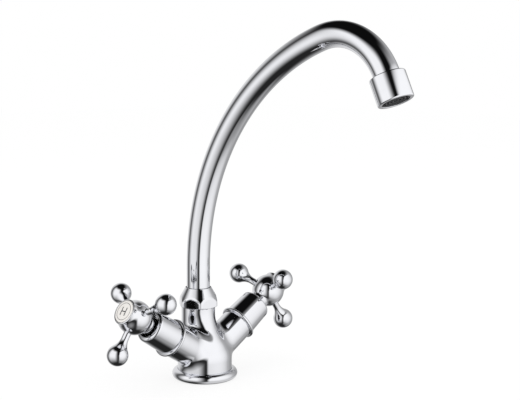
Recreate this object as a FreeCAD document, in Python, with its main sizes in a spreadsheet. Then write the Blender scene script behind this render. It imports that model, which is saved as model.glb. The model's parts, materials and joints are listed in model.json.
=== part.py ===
import FreeCAD, Part
import math
import os
import Sketcher

# Two-handle kitchen mixer tap with a swivelling tube spout.
# Millimetres, +Z up. The origin is the centre of the base's underside, where it stands on the sink.
# The spout points to -Y, the hot handle is on -X and the cold handle on +X.

doc = FreeCAD.newDocument("kitchen_mixer_tap")
sheet = doc.addObject("Spreadsheet::Sheet", "Sizes")

driving_sizes = {
    # Base ring and the foot of the casting
    "base_diameter": 50.4,
    "base_height": 7.2,
    "base_widest_height": 3.4,
    "base_floor": 3.0,
    "base_hole_diameter": 34.0,
    "gasket_thickness": 1.4,
    "gasket_width": 2.4,
    "gasket_inset": 1.2,
    "column_diameter": 41.8,
    # Arms, neck and the blends between them
    "arm_rise": 32.0,
    "arm_root_height": 14.9,
    "arm_diameter": 26.0,
    "arm_length": 40.0,
    "neck_back": 7.6,
    "neck_diameter": 26.0,
    "neck_height": 54.3,
    "blend_share": 0.7,
    # Waterways in the casting
    "inlet_spacing": 18.0,
    "inlet_diameter": 9.0,
    "inlet_depth": 17.0,
    "stud_hole_diameter": 6.8,
    "stud_hole_depth": 14.0,
    "stud_hole_back": 11.0,
    "feed_diameter": 7.0,
    "feed_start": 8.0,
    "mixing_diameter": 11.0,
    "mixing_floor": 28.0,
    "cross_port_diameter": 5.2,
    "cross_port_height": 32.0,
    "cross_port_reach": 2.6,
    "cross_port_turn": 24.0,
    # Spout nut
    "nut_thread_diameter": 22.0,
    "nut_thread_length": 8.7,
    "nut_flats": 27.8,
    "nut_corner_diameter": 31.6,
    "nut_height": 15.3,
    "nut_turn": -4.0,
    "nut_top_diameter": 20.6,
    "nut_cone_height": 6.7,
    "nut_corner_drop": 3.3,
    "nut_foot_bevel": 1.2,
    # Spout tube
    "tube_diameter": 18.0,
    "tube_wall": 1.0,
    "riser_height": 86.0,
    "sweep_radius": 184.0,
    "sweep_angle": 71.3,
    "crook_radius": 46.7,
    "crook_angle": 83.1,
    "tip_length": 7.0,
    # Ferrule, washers and seals of the swivel
    "ferrule_diameter": 15.0,
    "ferrule_bore": 11.0,
    "ferrule_depth": 23.0,
    "ferrule_plug": 10.0,
    "collar_diameter": 20.2,
    "collar_thickness": 2.2,
    "spout_washer_thickness": 0.5,
    "slide_ring_thickness": 1.1,
    "spout_seal_section": 1.2,
    "spout_seal_spacing": 7.0,
    "spout_seal_depth": 9.0,
    # Aerator
    "aerator_diameter": 24.6,
    "aerator_length": 18.4,
    "aerator_edge": 0.6,
    "aerator_lip": 1.5,
    "aerator_opening": 19.2,
    "aerator_chamber": 21.0,
    "tip_thread_diameter": 21.9,
    "aerator_washer_thickness": 1.4,
    "aerator_washer_bore": 15.6,
    "insert_plate": 1.6,
    "insert_skirt": 3.2,
    "insert_wall": 1.4,
    "jet_diameter": 1.6,
    "outer_jets_radius": 7.2,
    "inner_jets_radius": 3.8,
    "screen_thickness": 0.3,
    "screen_hole": 1.1,
    "screen_pitch": 1.5,
    "grid_wall": 0.6,
    "grid_gap": 0.4,
    "grid_proud": 0.9,
    # Valve headwork, measured outwards from the seat in the arm
    "socket_diameter": 20.9,
    "seat_depth": 18.6,
    "seal_thickness": 1.2,
    "seal_bore": 8.8,
    "ceramic_diameter": 14.0,
    "fixed_disc_thickness": 2.5,
    "moving_disc_thickness": 2.7,
    "disc_port_diameter": 4.2,
    "disc_port_offset": 4.2,
    "disc_notch_diameter": 6.0,
    "key_length": 12.6,
    "key_width": 3.0,
    "key_height": 1.1,
    "carrier_thickness": 3.2,
    "thrust_washer_thickness": 0.6,
    "bonnet_lift": 0.6,
    "bonnet_wall": 1.15,
    "bonnet_skirt": 7.3,
    "bonnet_flange_diameter": 22.4,
    "bonnet_flange_thickness": 2.8,
    "bonnet_flats": 19.0,
    "bonnet_hex_height": 7.0,
    "bonnet_neck_diameter": 14.0,
    "bonnet_height": 20.6,
    "bonnet_seal_section": 1.1,
    "bonnet_groove_height": 2.0,
    "window_width": 6.0,
    "window_height": 4.0,
    "stem_diameter": 7.96,
    "spline_diameter": 7.4,
    "spline_length": 14.4,
    "stem_groove_height": 12.0,
    "stem_seal_section": 1.1,
    "clip_thickness": 0.8,
    "clip_diameter": 10.8,
    "clip_groove_diameter": 6.8,
    "clip_angle": 310.0,
    "tapped_depth": 8.5,
    # Sleeve over the headwork
    "sleeve_length": 25.8,
    "sleeve_inner_diameter": 26.4,
    "sleeve_outer_diameter": 24.4,
    "sleeve_bead_diameter": 30.0,
    "sleeve_bead_width": 2.8,
    "sleeve_edge_share": 0.87,
    "sleeve_recess_diameter": 18.4,
    "sleeve_recess_depth": 8.2,
    "sleeve_web": 3.0,
    "sleeve_nut_flats": 15.6,
    "sleeve_nut_height": 2.6,
    # Handle, measured from the hub's centre
    "hub_stand_off": 41.1,
    "cold_rest_turn": -3.4,
    "hub_diameter": 25.7,
    "hub_neck_diameter": 14.6,
    "hub_neck_reach": 19.1,
    "hub_front_diameter": 19.6,
    "hub_front_reach": 11.5,
    "hub_front_edge": 0.6,
    "screw_floor_drop": 1.2,
    "screw_floor_thickness": 3.2,
    "screw_diameter": 4.0,
    "screw_length": 11.0,
    "screw_head_diameter": 7.2,
    "screw_head_height": 2.7,
    "screw_slot_width": 1.0,
    "screw_slot_depth": 1.2,
    "screw_well_diameter": 8.4,
    "disc_diameter": 17.1,
    "disc_seat_depth": 2.6,
    "disc_proud": 0.3,
    "disc_edge": 0.4,
    # Handle spokes
    "spoke_reach": 29.9,
    "spoke_ball_diameter": 15.8,
    "spoke_stem_diameter": 5.5,
    "spoke_flare_radius": 12.0,
    "spoke_stud_diameter": 4.8,
    "spoke_stud_start": 6.6,
    "spoke_seat": 11.6,
    # Clearances
    "running_gap": 0.05,
    "fit_gap": 0.1,
    "face_gap": 0.05,
    "nut_gap": 0.6,
}


class Size:
    # A number that keeps the sheet formula it comes from.
    def __init__(self, value, text):
        self.value = float(value)
        self.text = text

    def __add__(self, other):
        other = as_size(other)
        return Size(self.value + other.value, f"({self.text} + {other.text})")

    def __radd__(self, other):
        return as_size(other) + self

    def __sub__(self, other):
        other = as_size(other)
        return Size(self.value - other.value, f"({self.text} - {other.text})")

    def __rsub__(self, other):
        return as_size(other) - self

    def __mul__(self, other):
        other = as_size(other)
        return Size(self.value * other.value, f"({self.text} * {other.text})")

    def __rmul__(self, other):
        return as_size(other) * self

    def __truediv__(self, other):
        other = as_size(other)
        return Size(self.value / other.value, f"({self.text} / {other.text})")

    def __neg__(self):
        return as_size(0) - self


def as_size(number):
    if isinstance(number, Size):
        return number
    return Size(number, f"{float(number):.6f}")


def root(size):
    return Size(math.sqrt(size.value), f"sqrt({size.text})")


def sine(angle):
    return Size(math.sin(math.radians(angle.value)), f"sin({angle.text})")


def cosine(angle):
    return Size(math.cos(math.radians(angle.value)), f"cos({angle.text})")


class Sheet:
    # The driving sizes, by name.
    def __init__(self, values):
        for row, (name, value) in enumerate(values.items(), start=1):
            sheet.set(f"A{row}", name)
            sheet.set(f"B{row}", str(value))
            sheet.setAlias(f"B{row}", name)
            setattr(self, name, Size(value, f"Sizes.{name}"))


dim = Sheet(driving_sizes)
doc.recompute()

nodes = []

# Counts
outer_jets = 12
inner_jets = 6
screen_rings = 5
screen_sides = 6
grid_rings = 4
grid_bars = 3
spokes = 3


def keep(label, thing):
    # Names a finished piece and puts it on the list of pieces to write.
    thing.Label = label
    nodes.append(thing)
    return thing


def frame(x=0, y=0, z=0, yaw=0, pitch=0):
    # Place formula: moved by x, y, z and turned by pitch about Y, then by yaw about Z.
    x, y, z, yaw, pitch = (as_size(number).text for number in (x, y, z, yaw, pitch))
    return f"placement(vector({x}; {y}; {z}); rotation({yaw}; {pitch}; 0))"


def plane(body, role):
    return next(item for item in body.Origin.OriginFeatures if item.Role == role)


def sketch_on(body, role, name):
    sketch = body.newObject("Sketcher::SketchObject", name)
    sketch.AttachmentSupport = (plane(body, role), [""])
    sketch.MapMode = "FlatFace"
    return sketch


def pin_point(sketch, shape, end, x, y):
    # Ties one point of a sketch to its two coordinates.
    for kind, size in (("DistanceX", as_size(x)), ("DistanceY", as_size(y))):
        index = sketch.addConstraint(Sketcher.Constraint(kind, -1, 1, shape, end, size.value))
        sketch.setExpression(f"Constraints[{index}]", size.text)


def set_radius(sketch, shape, radius):
    index = sketch.addConstraint(Sketcher.Constraint("Radius", shape, radius.value))
    sketch.setExpression(f"Constraints[{index}]", radius.text)


def arc_between(start, end, radius, turn):
    # Short arc from start to end; turn is 1 anticlockwise and -1 clockwise.
    chord = end - start
    half = chord.Length / 2
    rise = math.sqrt(max(radius * radius - half * half, 0.0))
    aside = FreeCAD.Vector(-chord.y, chord.x, 0).normalize()
    centre = start + chord * 0.5 + aside * rise * turn
    first, last = (start, end) if turn > 0 else (end, start)
    begin = math.atan2(first.y - centre.y, first.x - centre.x)
    finish = math.atan2(last.y - centre.y, last.x - centre.x)
    circle = Part.Circle(centre, FreeCAD.Vector(0, 0, 1), radius)
    return Part.ArcOfCircle(circle, begin, finish)


def outline(sketch, rows, closed=True):
    # Joins rows of (x, y) by lines; a row of (x, y, radius, turn) is reached by an arc instead.
    points = [FreeCAD.Vector(as_size(row[0]).value, as_size(row[1]).value, 0) for row in rows]
    ends = []
    for index in range(0 if closed else 1, len(rows)):
        row = rows[index]
        start = points[index - 1]
        if len(row) == 2:
            shape = sketch.addGeometry(Part.LineSegment(start, points[index]), False)
            ends.append((shape, 1, 2))
            continue
        radius = as_size(row[2])
        shape = sketch.addGeometry(arc_between(start, points[index], radius.value, row[3]), False)
        ends.append((shape, 1, 2) if row[3] > 0 else (shape, 2, 1))
        set_radius(sketch, shape, radius)
    links = zip(ends, ends[1:] + ends[:1]) if closed else zip(ends, ends[1:])
    for before, after in links:
        sketch.addConstraint(Sketcher.Constraint("Coincident", before[0], before[2], after[0], after[1]))
    if not closed:
        pin_point(sketch, ends[0][0], ends[0][1], rows[0][0], rows[0][1])
    for (shape, _, last), row in zip(ends, rows if closed else rows[1:]):
        pin_point(sketch, shape, last, row[0], row[1])


def turned(name, rows, place, about="V_Axis", sweep=None):
    # A turned piece: rows of (radius, height) swept about the upright axis.
    body = doc.addObject("PartDesign::Body", name)
    sketch = sketch_on(body, "XZ_Plane", f"{name}_section")
    outline(sketch, rows)
    turn = body.newObject("PartDesign::Revolution", f"{name}_turn")
    turn.Profile = sketch
    turn.ReferenceAxis = (sketch, [about])
    turn.Angle = 360
    if sweep is not None:
        turn.setExpression("Angle", sweep.text)
    body.setExpression("Placement", place)
    return body


def ring_rows(inner, outer, bottom, top):
    return [(inner, bottom), (outer, bottom), (outer, top), (inner, top)]


def plate(name, circles, thickness, place):
    # A flat plate: the first circle of (x, y, radius) is its rim and the others are holes.
    body = doc.addObject("PartDesign::Body", name)
    sketch = sketch_on(body, "XY_Plane", f"{name}_outline")
    for x, y, radius in circles:
        centre = FreeCAD.Vector(as_size(x).value, as_size(y).value, 0)
        circle = Part.Circle(centre, FreeCAD.Vector(0, 0, 1), radius.value)
        shape = sketch.addGeometry(circle, False)
        pin_point(sketch, shape, 3, x, y)
        set_radius(sketch, shape, radius)
    pad = body.newObject("PartDesign::Pad", f"{name}_pad")
    pad.Profile = sketch
    pad.setExpression("Length", thickness.text)
    body.setExpression("Placement", place)
    return body


def hole_ring(radius, hole, count):
    # Holes spaced evenly on a circle.
    angles = [Size(360.0 * index / count, f"{360.0 * index / count:.6f}") for index in range(count)]
    return [(radius * cosine(angle), radius * sine(angle), hole) for angle in angles]


def cylinder(name, radius, height, place):
    thing = doc.addObject("Part::Cylinder", name)
    thing.setExpression("Radius", radius.text)
    thing.setExpression("Height", height.text)
    thing.setExpression("Placement", place)
    return thing


def block(name, length, width, height, place):
    # A box centred on its place in length and width, standing on it.
    thing = doc.addObject("Part::Box", name)
    thing.setExpression("Length", length.text)
    thing.setExpression("Width", width.text)
    thing.setExpression("Height", height.text)
    thing.setExpression("Placement", f"{place} * {frame(-length / 2, -width / 2)}")
    return thing


def hexagon(name, flats, height, place):
    thing = doc.addObject("Part::Prism", name)
    thing.Polygon = 6
    thing.setExpression("Circumradius", (flats / math.sqrt(3)).text)
    thing.setExpression("Height", height.text)
    thing.setExpression("Placement", place)
    return thing


def seal(label, bore_radius, section, place):
    # An O-ring whose outside just clears the bore around it.
    thing = doc.addObject("Part::Torus", label)
    thing.setExpression("Radius1", (bore_radius - dim.running_gap - section / 2).text)
    thing.setExpression("Radius2", (section / 2).text)
    thing.setExpression("Placement", place)
    return keep(label, thing)


def fused(name, things):
    thing = doc.addObject("Part::MultiFuse", name)
    thing.Shapes = things
    return thing


def cut(name, base, tool):
    thing = doc.addObject("Part::Cut", name)
    thing.Base = base
    thing.Tool = tool
    return thing


def common(name, base, tool):
    thing = doc.addObject("Part::Common", name)
    thing.Base = base
    thing.Tool = tool
    return thing


# Sizes worked out from the driving ones
column_radius = dim.column_diameter / 2
arm_radius = dim.arm_diameter / 2
neck_radius = dim.neck_diameter / 2
socket_radius = dim.socket_diameter / 2
seat_at = dim.arm_length - dim.seat_depth
thread_radius = dim.nut_thread_diameter / 2
tube_radius = dim.tube_diameter / 2
tube_bore = tube_radius - dim.tube_wall
ferrule_socket = dim.ferrule_diameter / 2
spigot_top = dim.neck_height + dim.nut_thread_length
collar_bottom = spigot_top + dim.spout_washer_thickness + 2 * dim.face_gap
collar_top = collar_bottom + dim.collar_thickness
nut_bottom = dim.neck_height + dim.face_gap
nut_top = nut_bottom + dim.nut_height
nut_bore = tube_radius + dim.nut_gap
ceramic_radius = dim.ceramic_diameter / 2
chamber_radius = ceramic_radius + 2 * dim.fit_gap
bonnet_bore = dim.stem_diameter / 2 + dim.running_gap
hub_radius = dim.hub_diameter / 2
spline_radius = dim.spline_diameter / 2

# Blend that leaves the arm's end free: a share of the largest that fits between arm and neck
crotch_half = (90 - dim.arm_rise) / 2
crotch_at = (neck_radius + arm_radius * sine(dim.arm_rise)) / cosine(dim.arm_rise)
blend_room = (dim.arm_length - crotch_at) * sine(crotch_half) / cosine(crotch_half)
casting_blend = dim.blend_share * blend_room

# Port from the mixing chamber that ends in the valve's socket, a little way past its seat
port_rise = (dim.cross_port_height - dim.arm_root_height) * sine(dim.arm_rise)
port_slope = cosine(dim.cross_port_turn) * cosine(dim.arm_rise)
cross_port_length = (seat_at + dim.cross_port_reach - port_rise) / port_slope

# Heights in the valve, from the seat outwards
fixed_disc_at = dim.seal_thickness
moving_disc_at = fixed_disc_at + dim.fixed_disc_thickness + dim.face_gap
carrier_at = moving_disc_at + dim.moving_disc_thickness + dim.face_gap
carrier_top = carrier_at + dim.carrier_thickness
chamber_top = carrier_top + dim.thrust_washer_thickness + 2 * dim.face_gap
flange_at = dim.seat_depth
hex_at = flange_at + dim.bonnet_flange_thickness
bonnet_neck_at = hex_at + dim.bonnet_hex_height
bonnet_top = flange_at + dim.bonnet_height
sleeve_end = flange_at + dim.sleeve_length
recess_at = sleeve_end - dim.sleeve_recess_depth
clip_at = bonnet_top + dim.face_gap
hub_at = flange_at + dim.hub_stand_off
spindle_top = hub_at - dim.screw_floor_drop - dim.screw_floor_thickness - dim.fit_gap
spline_at = spindle_top - dim.spline_length

# Places
deck = frame()
spout_place = frame(0, dim.neck_back, 0, -90)
bend = dim.sweep_angle + dim.crook_angle
sweep_out = dim.sweep_radius * (1 - cosine(dim.sweep_angle))
sweep_up = dim.riser_height + dim.sweep_radius * sine(dim.sweep_angle)
crook_out = sweep_out + dim.crook_radius * (cosine(dim.sweep_angle) - cosine(bend))
crook_up = sweep_up + dim.crook_radius * (sine(bend) - sine(dim.sweep_angle))
outlet_place = frame(0, dim.neck_back - crook_out, crook_up, -90, bend)
arm_places = {
    "hot": frame(0, 0, dim.arm_root_height, 180, 90 - dim.arm_rise),
    "cold": frame(0, 0, dim.arm_root_height, 0, 90 - dim.arm_rise),
}
valve_places = {
    side: f"{place} * {frame(0, 0, seat_at)}"
    for side, place in arm_places.items()
}
rest_turns = {"hot": 0, "cold": dim.cold_rest_turn}


def make_casting():
    # Column with a domed top, two arms and the neck, blended and drilled for water.
    front = -90
    column_height = dim.arm_root_height - dim.base_floor
    column = cylinder("column", column_radius, column_height, frame(0, 0, dim.base_floor, front))
    dome = doc.addObject("Part::Sphere", "dome")
    dome.Angle1 = 0
    dome.setExpression("Radius", column_radius.text)
    dome.setExpression("Placement", frame(0, 0, dim.arm_root_height, front))
    arms = [
        cylinder(f"{side}_arm", arm_radius, dim.arm_length, place)
        for side, place in arm_places.items()
    ]
    neck_length = dim.neck_height - dim.arm_root_height
    neck_place = frame(0, dim.neck_back, dim.arm_root_height, front)
    neck = cylinder("neck", neck_radius, neck_length, neck_place)
    rough = fused("rough_casting", [column, dome, neck] + arms)
    rough.Refine = True
    doc.recompute()
    blended = doc.addObject("Part::Fillet", "blended_casting")
    blended.Base = rough
    blended.Edges = [
        (number, casting_blend.value, casting_blend.value)
        for number in valley_edges(rough.Shape)
    ]
    spigot_place = frame(0, dim.neck_back, dim.neck_height)
    spigot = cylinder("spigot", thread_radius, dim.nut_thread_length, spigot_place)
    solid = fused("solid_casting", [blended, spigot])
    keep("mixer_body", cut("mixer_body", solid, fused("waterways", waterways())))


def valley_edges(shape):
    # The inner corners between the arms, the neck and the dome: neither round rims nor smooth seams.
    found = []
    for number, edge in enumerate(shape.Edges, start=1):
        faces = shape.ancestorsOfType(edge, Part.Face)
        if len(faces) != 2:
            continue
        middle = edge.valueAt((edge.FirstParameter + edge.LastParameter) / 2)
        normals = [face.normalAt(*face.Surface.parameter(middle)) for face in faces]
        flat = any(face.Surface.TypeId == "Part::GeomPlane" for face in faces)
        if not flat and abs(normals[0].dot(normals[1])) < 0.99:
            found.append(number)
    return found


def waterways():
    tools = []
    for side, sign, yaw in (("hot", -1, 180), ("cold", 1, 0)):
        inlet_place = frame(sign * dim.inlet_spacing / 2, 0, dim.base_floor)
        tools.append(cylinder(f"{side}_inlet", dim.inlet_diameter / 2, dim.inlet_depth, inlet_place))
        place = valve_places[side]
        tools.append(cylinder(f"{side}_socket", socket_radius, dim.seat_depth, place))
        feed_place = f"{arm_places[side]} * {frame(0, 0, dim.feed_start)}"
        tools.append(cylinder(f"{side}_feed", dim.feed_diameter / 2, seat_at - dim.feed_start, feed_place))
        port_yaw = yaw - sign * dim.cross_port_turn
        port_place = frame(0, dim.neck_back, dim.cross_port_height, port_yaw, 90)
        port_radius = dim.cross_port_diameter / 2
        tools.append(cylinder(f"{side}_port", port_radius, cross_port_length, port_place))
    mixing_height = spigot_top - dim.mixing_floor
    mixing_place = frame(0, dim.neck_back, dim.mixing_floor)
    tools.append(cylinder("mixing_chamber", dim.mixing_diameter / 2, mixing_height, mixing_place))
    socket_depth = dim.ferrule_depth + 2 * dim.fit_gap
    socket_place = frame(0, dim.neck_back, spigot_top - socket_depth)
    tools.append(cylinder("ferrule_socket", ferrule_socket, socket_depth, socket_place))
    stud_place = frame(0, dim.stud_hole_back, dim.base_floor)
    tools.append(cylinder("stud_hole", dim.stud_hole_diameter / 2, dim.stud_hole_depth, stud_place))
    return tools


def make_base():
    # Half-round ring round the column's foot, with a flat gasket in its underside.
    rim = dim.base_diameter / 2
    lower = dim.base_widest_height
    upper = dim.base_height - dim.base_widest_height
    seat_radius = column_radius + dim.fit_gap
    gasket_inner = dim.base_hole_diameter / 2 + dim.gasket_inset
    gasket_outer = gasket_inner + dim.gasket_width
    keep("base_ring", turned("base_ring", [
        (dim.base_hole_diameter / 2, 0),
        (gasket_inner - dim.fit_gap, 0),
        (gasket_inner - dim.fit_gap, dim.gasket_thickness),
        (gasket_outer + dim.fit_gap, dim.gasket_thickness),
        (gasket_outer + dim.fit_gap, 0),
        (rim - lower, 0),
        (rim, lower, lower, 1),
        (rim - upper, dim.base_height, upper, 1),
        (seat_radius, dim.base_height),
        (seat_radius, dim.base_floor),
        (dim.base_hole_diameter / 2, dim.base_floor),
    ], deck))
    gasket_rows = ring_rows(gasket_inner, gasket_outer, 0, dim.gasket_thickness)
    keep("base_gasket", turned("base_gasket", gasket_rows, deck))


def make_spout_nut():
    # Hexagon nut with a tall conical top and turned corners that closes round the tube.
    place = frame(0, dim.neck_back, 0, dim.nut_turn)
    corner = dim.nut_corner_diameter / 2
    top_radius = dim.nut_top_diameter / 2
    cone_foot = nut_top - dim.nut_cone_height
    land = collar_top + dim.slide_ring_thickness + 2 * dim.face_gap
    chamber = dim.collar_diameter / 2 + 2 * dim.fit_gap
    envelope = turned("nut_envelope", [
        (thread_radius + dim.running_gap, nut_bottom),
        (corner - 2 * dim.nut_foot_bevel, nut_bottom),
        (corner, nut_bottom + dim.nut_foot_bevel),
        (corner, cone_foot - dim.nut_corner_drop),
        (dim.nut_flats / 2, cone_foot),
        (top_radius, nut_top),
        (nut_bore, nut_top),
        (nut_bore, land),
        (chamber, land),
        (chamber, spigot_top + dim.fit_gap),
        (thread_radius + dim.running_gap, spigot_top + dim.fit_gap),
    ], place)
    blank_place = frame(0, dim.neck_back, nut_bottom, dim.nut_turn)
    blank = hexagon("nut_blank", dim.nut_flats, dim.nut_height, blank_place)
    keep("spout_nut", common("spout_nut", blank, envelope))
    ring_outer = chamber - dim.fit_gap
    ring_top = land - dim.face_gap
    ring_bottom = ring_top - dim.slide_ring_thickness
    ring_inner = tube_radius + 2 * dim.fit_gap
    slide_rows = ring_rows(ring_inner, ring_outer, ring_bottom, ring_top)
    keep("slide_ring", turned("slide_ring", slide_rows, place))
    washer_top = spigot_top + dim.spout_washer_thickness
    washer_inner = ferrule_socket + 2 * dim.fit_gap
    washer_rows = ring_rows(washer_inner, chamber - dim.fit_gap, spigot_top, washer_top)
    keep("spout_washer", turned("spout_washer", washer_rows, place))


def make_spout_tube():
    # Round tube along an upright riser, a long sweep, a tight crook and a short straight tip.
    body = doc.addObject("PartDesign::Body", "spout_tube")
    path = sketch_on(body, "XZ_Plane", "tube_path")
    outline(path, [
        (0, collar_top),
        (0, dim.riser_height),
        (sweep_out, sweep_up, dim.sweep_radius, -1),
        (crook_out, crook_up, dim.crook_radius, -1),
        (crook_out + dim.tip_length * sine(bend), crook_up + dim.tip_length * cosine(bend)),
    ], closed=False)
    section = sketch_on(body, "XY_Plane", "tube_section")
    section.setExpression("AttachmentOffset.Base.z", collar_top.text)
    for radius in (tube_radius, tube_bore):
        circle = Part.Circle(FreeCAD.Vector(0, 0, 0), FreeCAD.Vector(0, 0, 1), radius.value)
        shape = section.addGeometry(circle, False)
        section.addConstraint(Sketcher.Constraint("Coincident", shape, 3, -1, 1))
        set_radius(section, shape, radius)
    pipe = body.newObject("PartDesign::AdditivePipe", "tube_pipe")
    pipe.Profile = section
    pipe.Spine = (path, [])
    body.setExpression("Placement", spout_place)
    keep("spout_tube", body)


def make_ferrule():
    # Turned end of the tube: grooved spigot in the neck, collar under the nut, plug in the tube.
    spigot = ferrule_socket - dim.running_gap
    groove = ferrule_socket - dim.spout_seal_section - dim.fit_gap
    half_groove = dim.spout_seal_section / 2 + 2 * dim.fit_gap
    bottom = spigot_top - dim.ferrule_depth
    upper_seal = spigot_top - dim.spout_seal_depth
    lower_seal = upper_seal - dim.spout_seal_spacing
    rows = [(dim.ferrule_bore / 2, bottom), (spigot, bottom)]
    for height in (lower_seal, upper_seal):
        rows += [
            (spigot, height - half_groove),
            (groove, height - half_groove),
            (groove, height + half_groove),
            (spigot, height + half_groove),
        ]
    plug_top = collar_top + dim.ferrule_plug
    rows += [
        (spigot, collar_bottom),
        (dim.collar_diameter / 2, collar_bottom),
        (dim.collar_diameter / 2, collar_top),
        (tube_bore - dim.running_gap, collar_top),
        (tube_bore - dim.running_gap, plug_top),
        (dim.ferrule_bore / 2, plug_top),
    ]
    keep("spout_ferrule", turned("spout_ferrule", rows, spout_place))
    for label, height in (("lower_spout_seal", lower_seal), ("upper_spout_seal", upper_seal)):
        seal(label, ferrule_socket, dim.spout_seal_section, f"{spout_place} * {frame(0, 0, height)}")


def make_aerator():
    # Threaded tip on the tube and the screwed shell that holds the washer, insert, screen and grid.
    outer = dim.aerator_diameter / 2
    thread = dim.tip_thread_diameter / 2
    chamber = dim.aerator_chamber / 2
    opening = dim.aerator_opening / 2
    edge = dim.aerator_edge
    washer_at = dim.tip_length + dim.face_gap
    insert_at = washer_at + dim.aerator_washer_thickness + dim.face_gap
    skirt_top = insert_at + dim.insert_plate + dim.insert_skirt
    screen_at = skirt_top + dim.face_gap
    grid_at = screen_at + dim.screen_thickness + dim.face_gap
    lip_at = dim.aerator_length - dim.aerator_lip
    tip_rows = ring_rows(tube_radius + dim.running_gap, thread - dim.running_gap, edge, dim.tip_length)
    keep("spout_tip", turned("spout_tip", tip_rows, outlet_place))
    keep("aerator_shell", turned("aerator_shell", [
        (thread, 0),
        (outer - edge, 0),
        (outer, edge, edge, 1),
        (outer, dim.aerator_length - edge),
        (outer - edge, dim.aerator_length, edge, 1),
        (opening, dim.aerator_length),
        (opening, lip_at),
        (chamber, lip_at),
        (chamber, insert_at),
        (thread, insert_at),
    ], outlet_place))
    washer_top = washer_at + dim.aerator_washer_thickness
    washer_rows = ring_rows(dim.aerator_washer_bore / 2, thread - dim.fit_gap, washer_at, washer_top)
    keep("aerator_washer", turned("aerator_washer", washer_rows, outlet_place))
    insert_radius = chamber - dim.fit_gap
    jet = dim.jet_diameter / 2
    bore = insert_radius - dim.insert_wall
    jets = hole_ring(dim.outer_jets_radius, jet, outer_jets)
    jets += hole_ring(dim.inner_jets_radius, jet, inner_jets)
    plate_place = f"{outlet_place} * {frame(0, 0, insert_at)}"
    jet_plate = plate("jet_plate", [(0, 0, insert_radius)] + jets, dim.insert_plate, plate_place)
    skirt_rows = ring_rows(bore, insert_radius, insert_at + dim.insert_plate, skirt_top)
    skirt = turned("insert_skirt", skirt_rows, outlet_place)
    keep("aerator_insert", fused("aerator_insert", [jet_plate, skirt]))
    mesh_hole = dim.screen_hole / 2
    mesh = [(0, 0, mesh_hole)]
    for step in range(1, screen_rings + 1):
        mesh += hole_ring(dim.screen_pitch * step, mesh_hole, screen_sides * step)
    screen_place = f"{outlet_place} * {frame(0, 0, screen_at)}"
    screen_circles = [(0, 0, insert_radius)] + mesh
    keep("aerator_screen", plate("aerator_screen", screen_circles, dim.screen_thickness, screen_place))
    make_aerator_grid(grid_at, lip_at, insert_radius, opening)


def make_aerator_grid(grid_at, lip_at, rim, opening):
    # Concentric rings tied by bars, standing a little way out of the shell's mouth ring.
    mouth = lip_at + dim.grid_proud
    widest = opening - dim.grid_gap
    rim_rows = ring_rows(widest - dim.grid_wall, rim, grid_at, lip_at)
    pieces = [turned("grid_rim", rim_rows, outlet_place)]
    pitch = widest / grid_rings
    for step in range(1, grid_rings + 1):
        outer = pitch * step
        ring = ring_rows(outer - dim.grid_wall, outer, grid_at, mouth)
        pieces.append(turned(f"grid_ring_{step}", ring, outlet_place))
    bar_length = 2 * widest - dim.grid_wall
    for step in range(grid_bars):
        bar_place = f"{outlet_place} * {frame(0, 0, grid_at, 180 / grid_bars * step)}"
        bar = block(f"grid_bar_{step}", bar_length, dim.grid_wall, lip_at - grid_at, bar_place)
        pieces.append(bar)
    keep("aerator_grid", fused("aerator_grid", pieces))


def make_headwork(side, place):
    # Fixed half of one valve: seal, lower ceramic disc, bonnet and its O-ring.
    seal_rows = ring_rows(dim.seal_bore / 2, ceramic_radius, 0, dim.seal_thickness)
    keep(f"{side}_seat_seal", turned(f"{side}_seat_seal", seal_rows, place))
    port = dim.disc_port_diameter / 2
    ports = [(dim.disc_port_offset, 0, port), (-dim.disc_port_offset, 0, port)]
    disc_place = f"{place} * {frame(0, 0, fixed_disc_at)}"
    disc_circles = [(0, 0, ceramic_radius)] + ports
    disc = plate(f"{side}_fixed_disc", disc_circles, dim.fixed_disc_thickness, disc_place)
    keep(f"{side}_fixed_disc", disc)
    skirt = chamber_radius + dim.bonnet_wall
    thread = socket_radius - dim.running_gap
    groove = thread - dim.bonnet_seal_section - dim.fit_gap
    flange = dim.bonnet_flange_diameter / 2
    neck = dim.bonnet_neck_diameter / 2
    spun = turned(f"{side}_bonnet_spun", [
        (chamber_radius, dim.bonnet_lift),
        (skirt, dim.bonnet_lift),
        (skirt, dim.bonnet_lift + dim.bonnet_skirt),
        (thread, dim.bonnet_lift + dim.bonnet_skirt),
        (thread, flange_at - dim.bonnet_groove_height),
        (groove, flange_at - dim.bonnet_groove_height),
        (groove, flange_at),
        (flange, flange_at),
        (flange, hex_at),
        (neck, hex_at),
        (neck, bonnet_top),
        (bonnet_bore, bonnet_top),
        (bonnet_bore, chamber_top),
        (chamber_radius, chamber_top),
    ], place)
    blank_place = f"{place} * {frame(0, 0, hex_at)}"
    blank = hexagon(f"{side}_bonnet_blank", dim.bonnet_flats, dim.bonnet_hex_height, blank_place)
    core = cylinder(f"{side}_bonnet_core", neck - dim.fit_gap, dim.bonnet_hex_height, blank_place)
    collar = cut(f"{side}_bonnet_collar", blank, core)
    whole = fused(f"{side}_bonnet_whole", [spun, collar])
    window_top = dim.bonnet_lift + dim.bonnet_skirt - dim.bonnet_wall
    window_place = f"{place} * {frame(0, 0, window_top - dim.window_height)}"
    windows = block(f"{side}_windows", 4 * skirt, dim.window_width, dim.window_height, window_place)
    keep(f"{side}_bonnet", cut(f"{side}_bonnet", whole, windows))
    groove_middle = flange_at - dim.bonnet_groove_height / 2
    seal_place = f"{place} * {frame(0, 0, groove_middle)}"
    seal(f"{side}_bonnet_seal", socket_radius, dim.bonnet_seal_section, seal_place)


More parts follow.
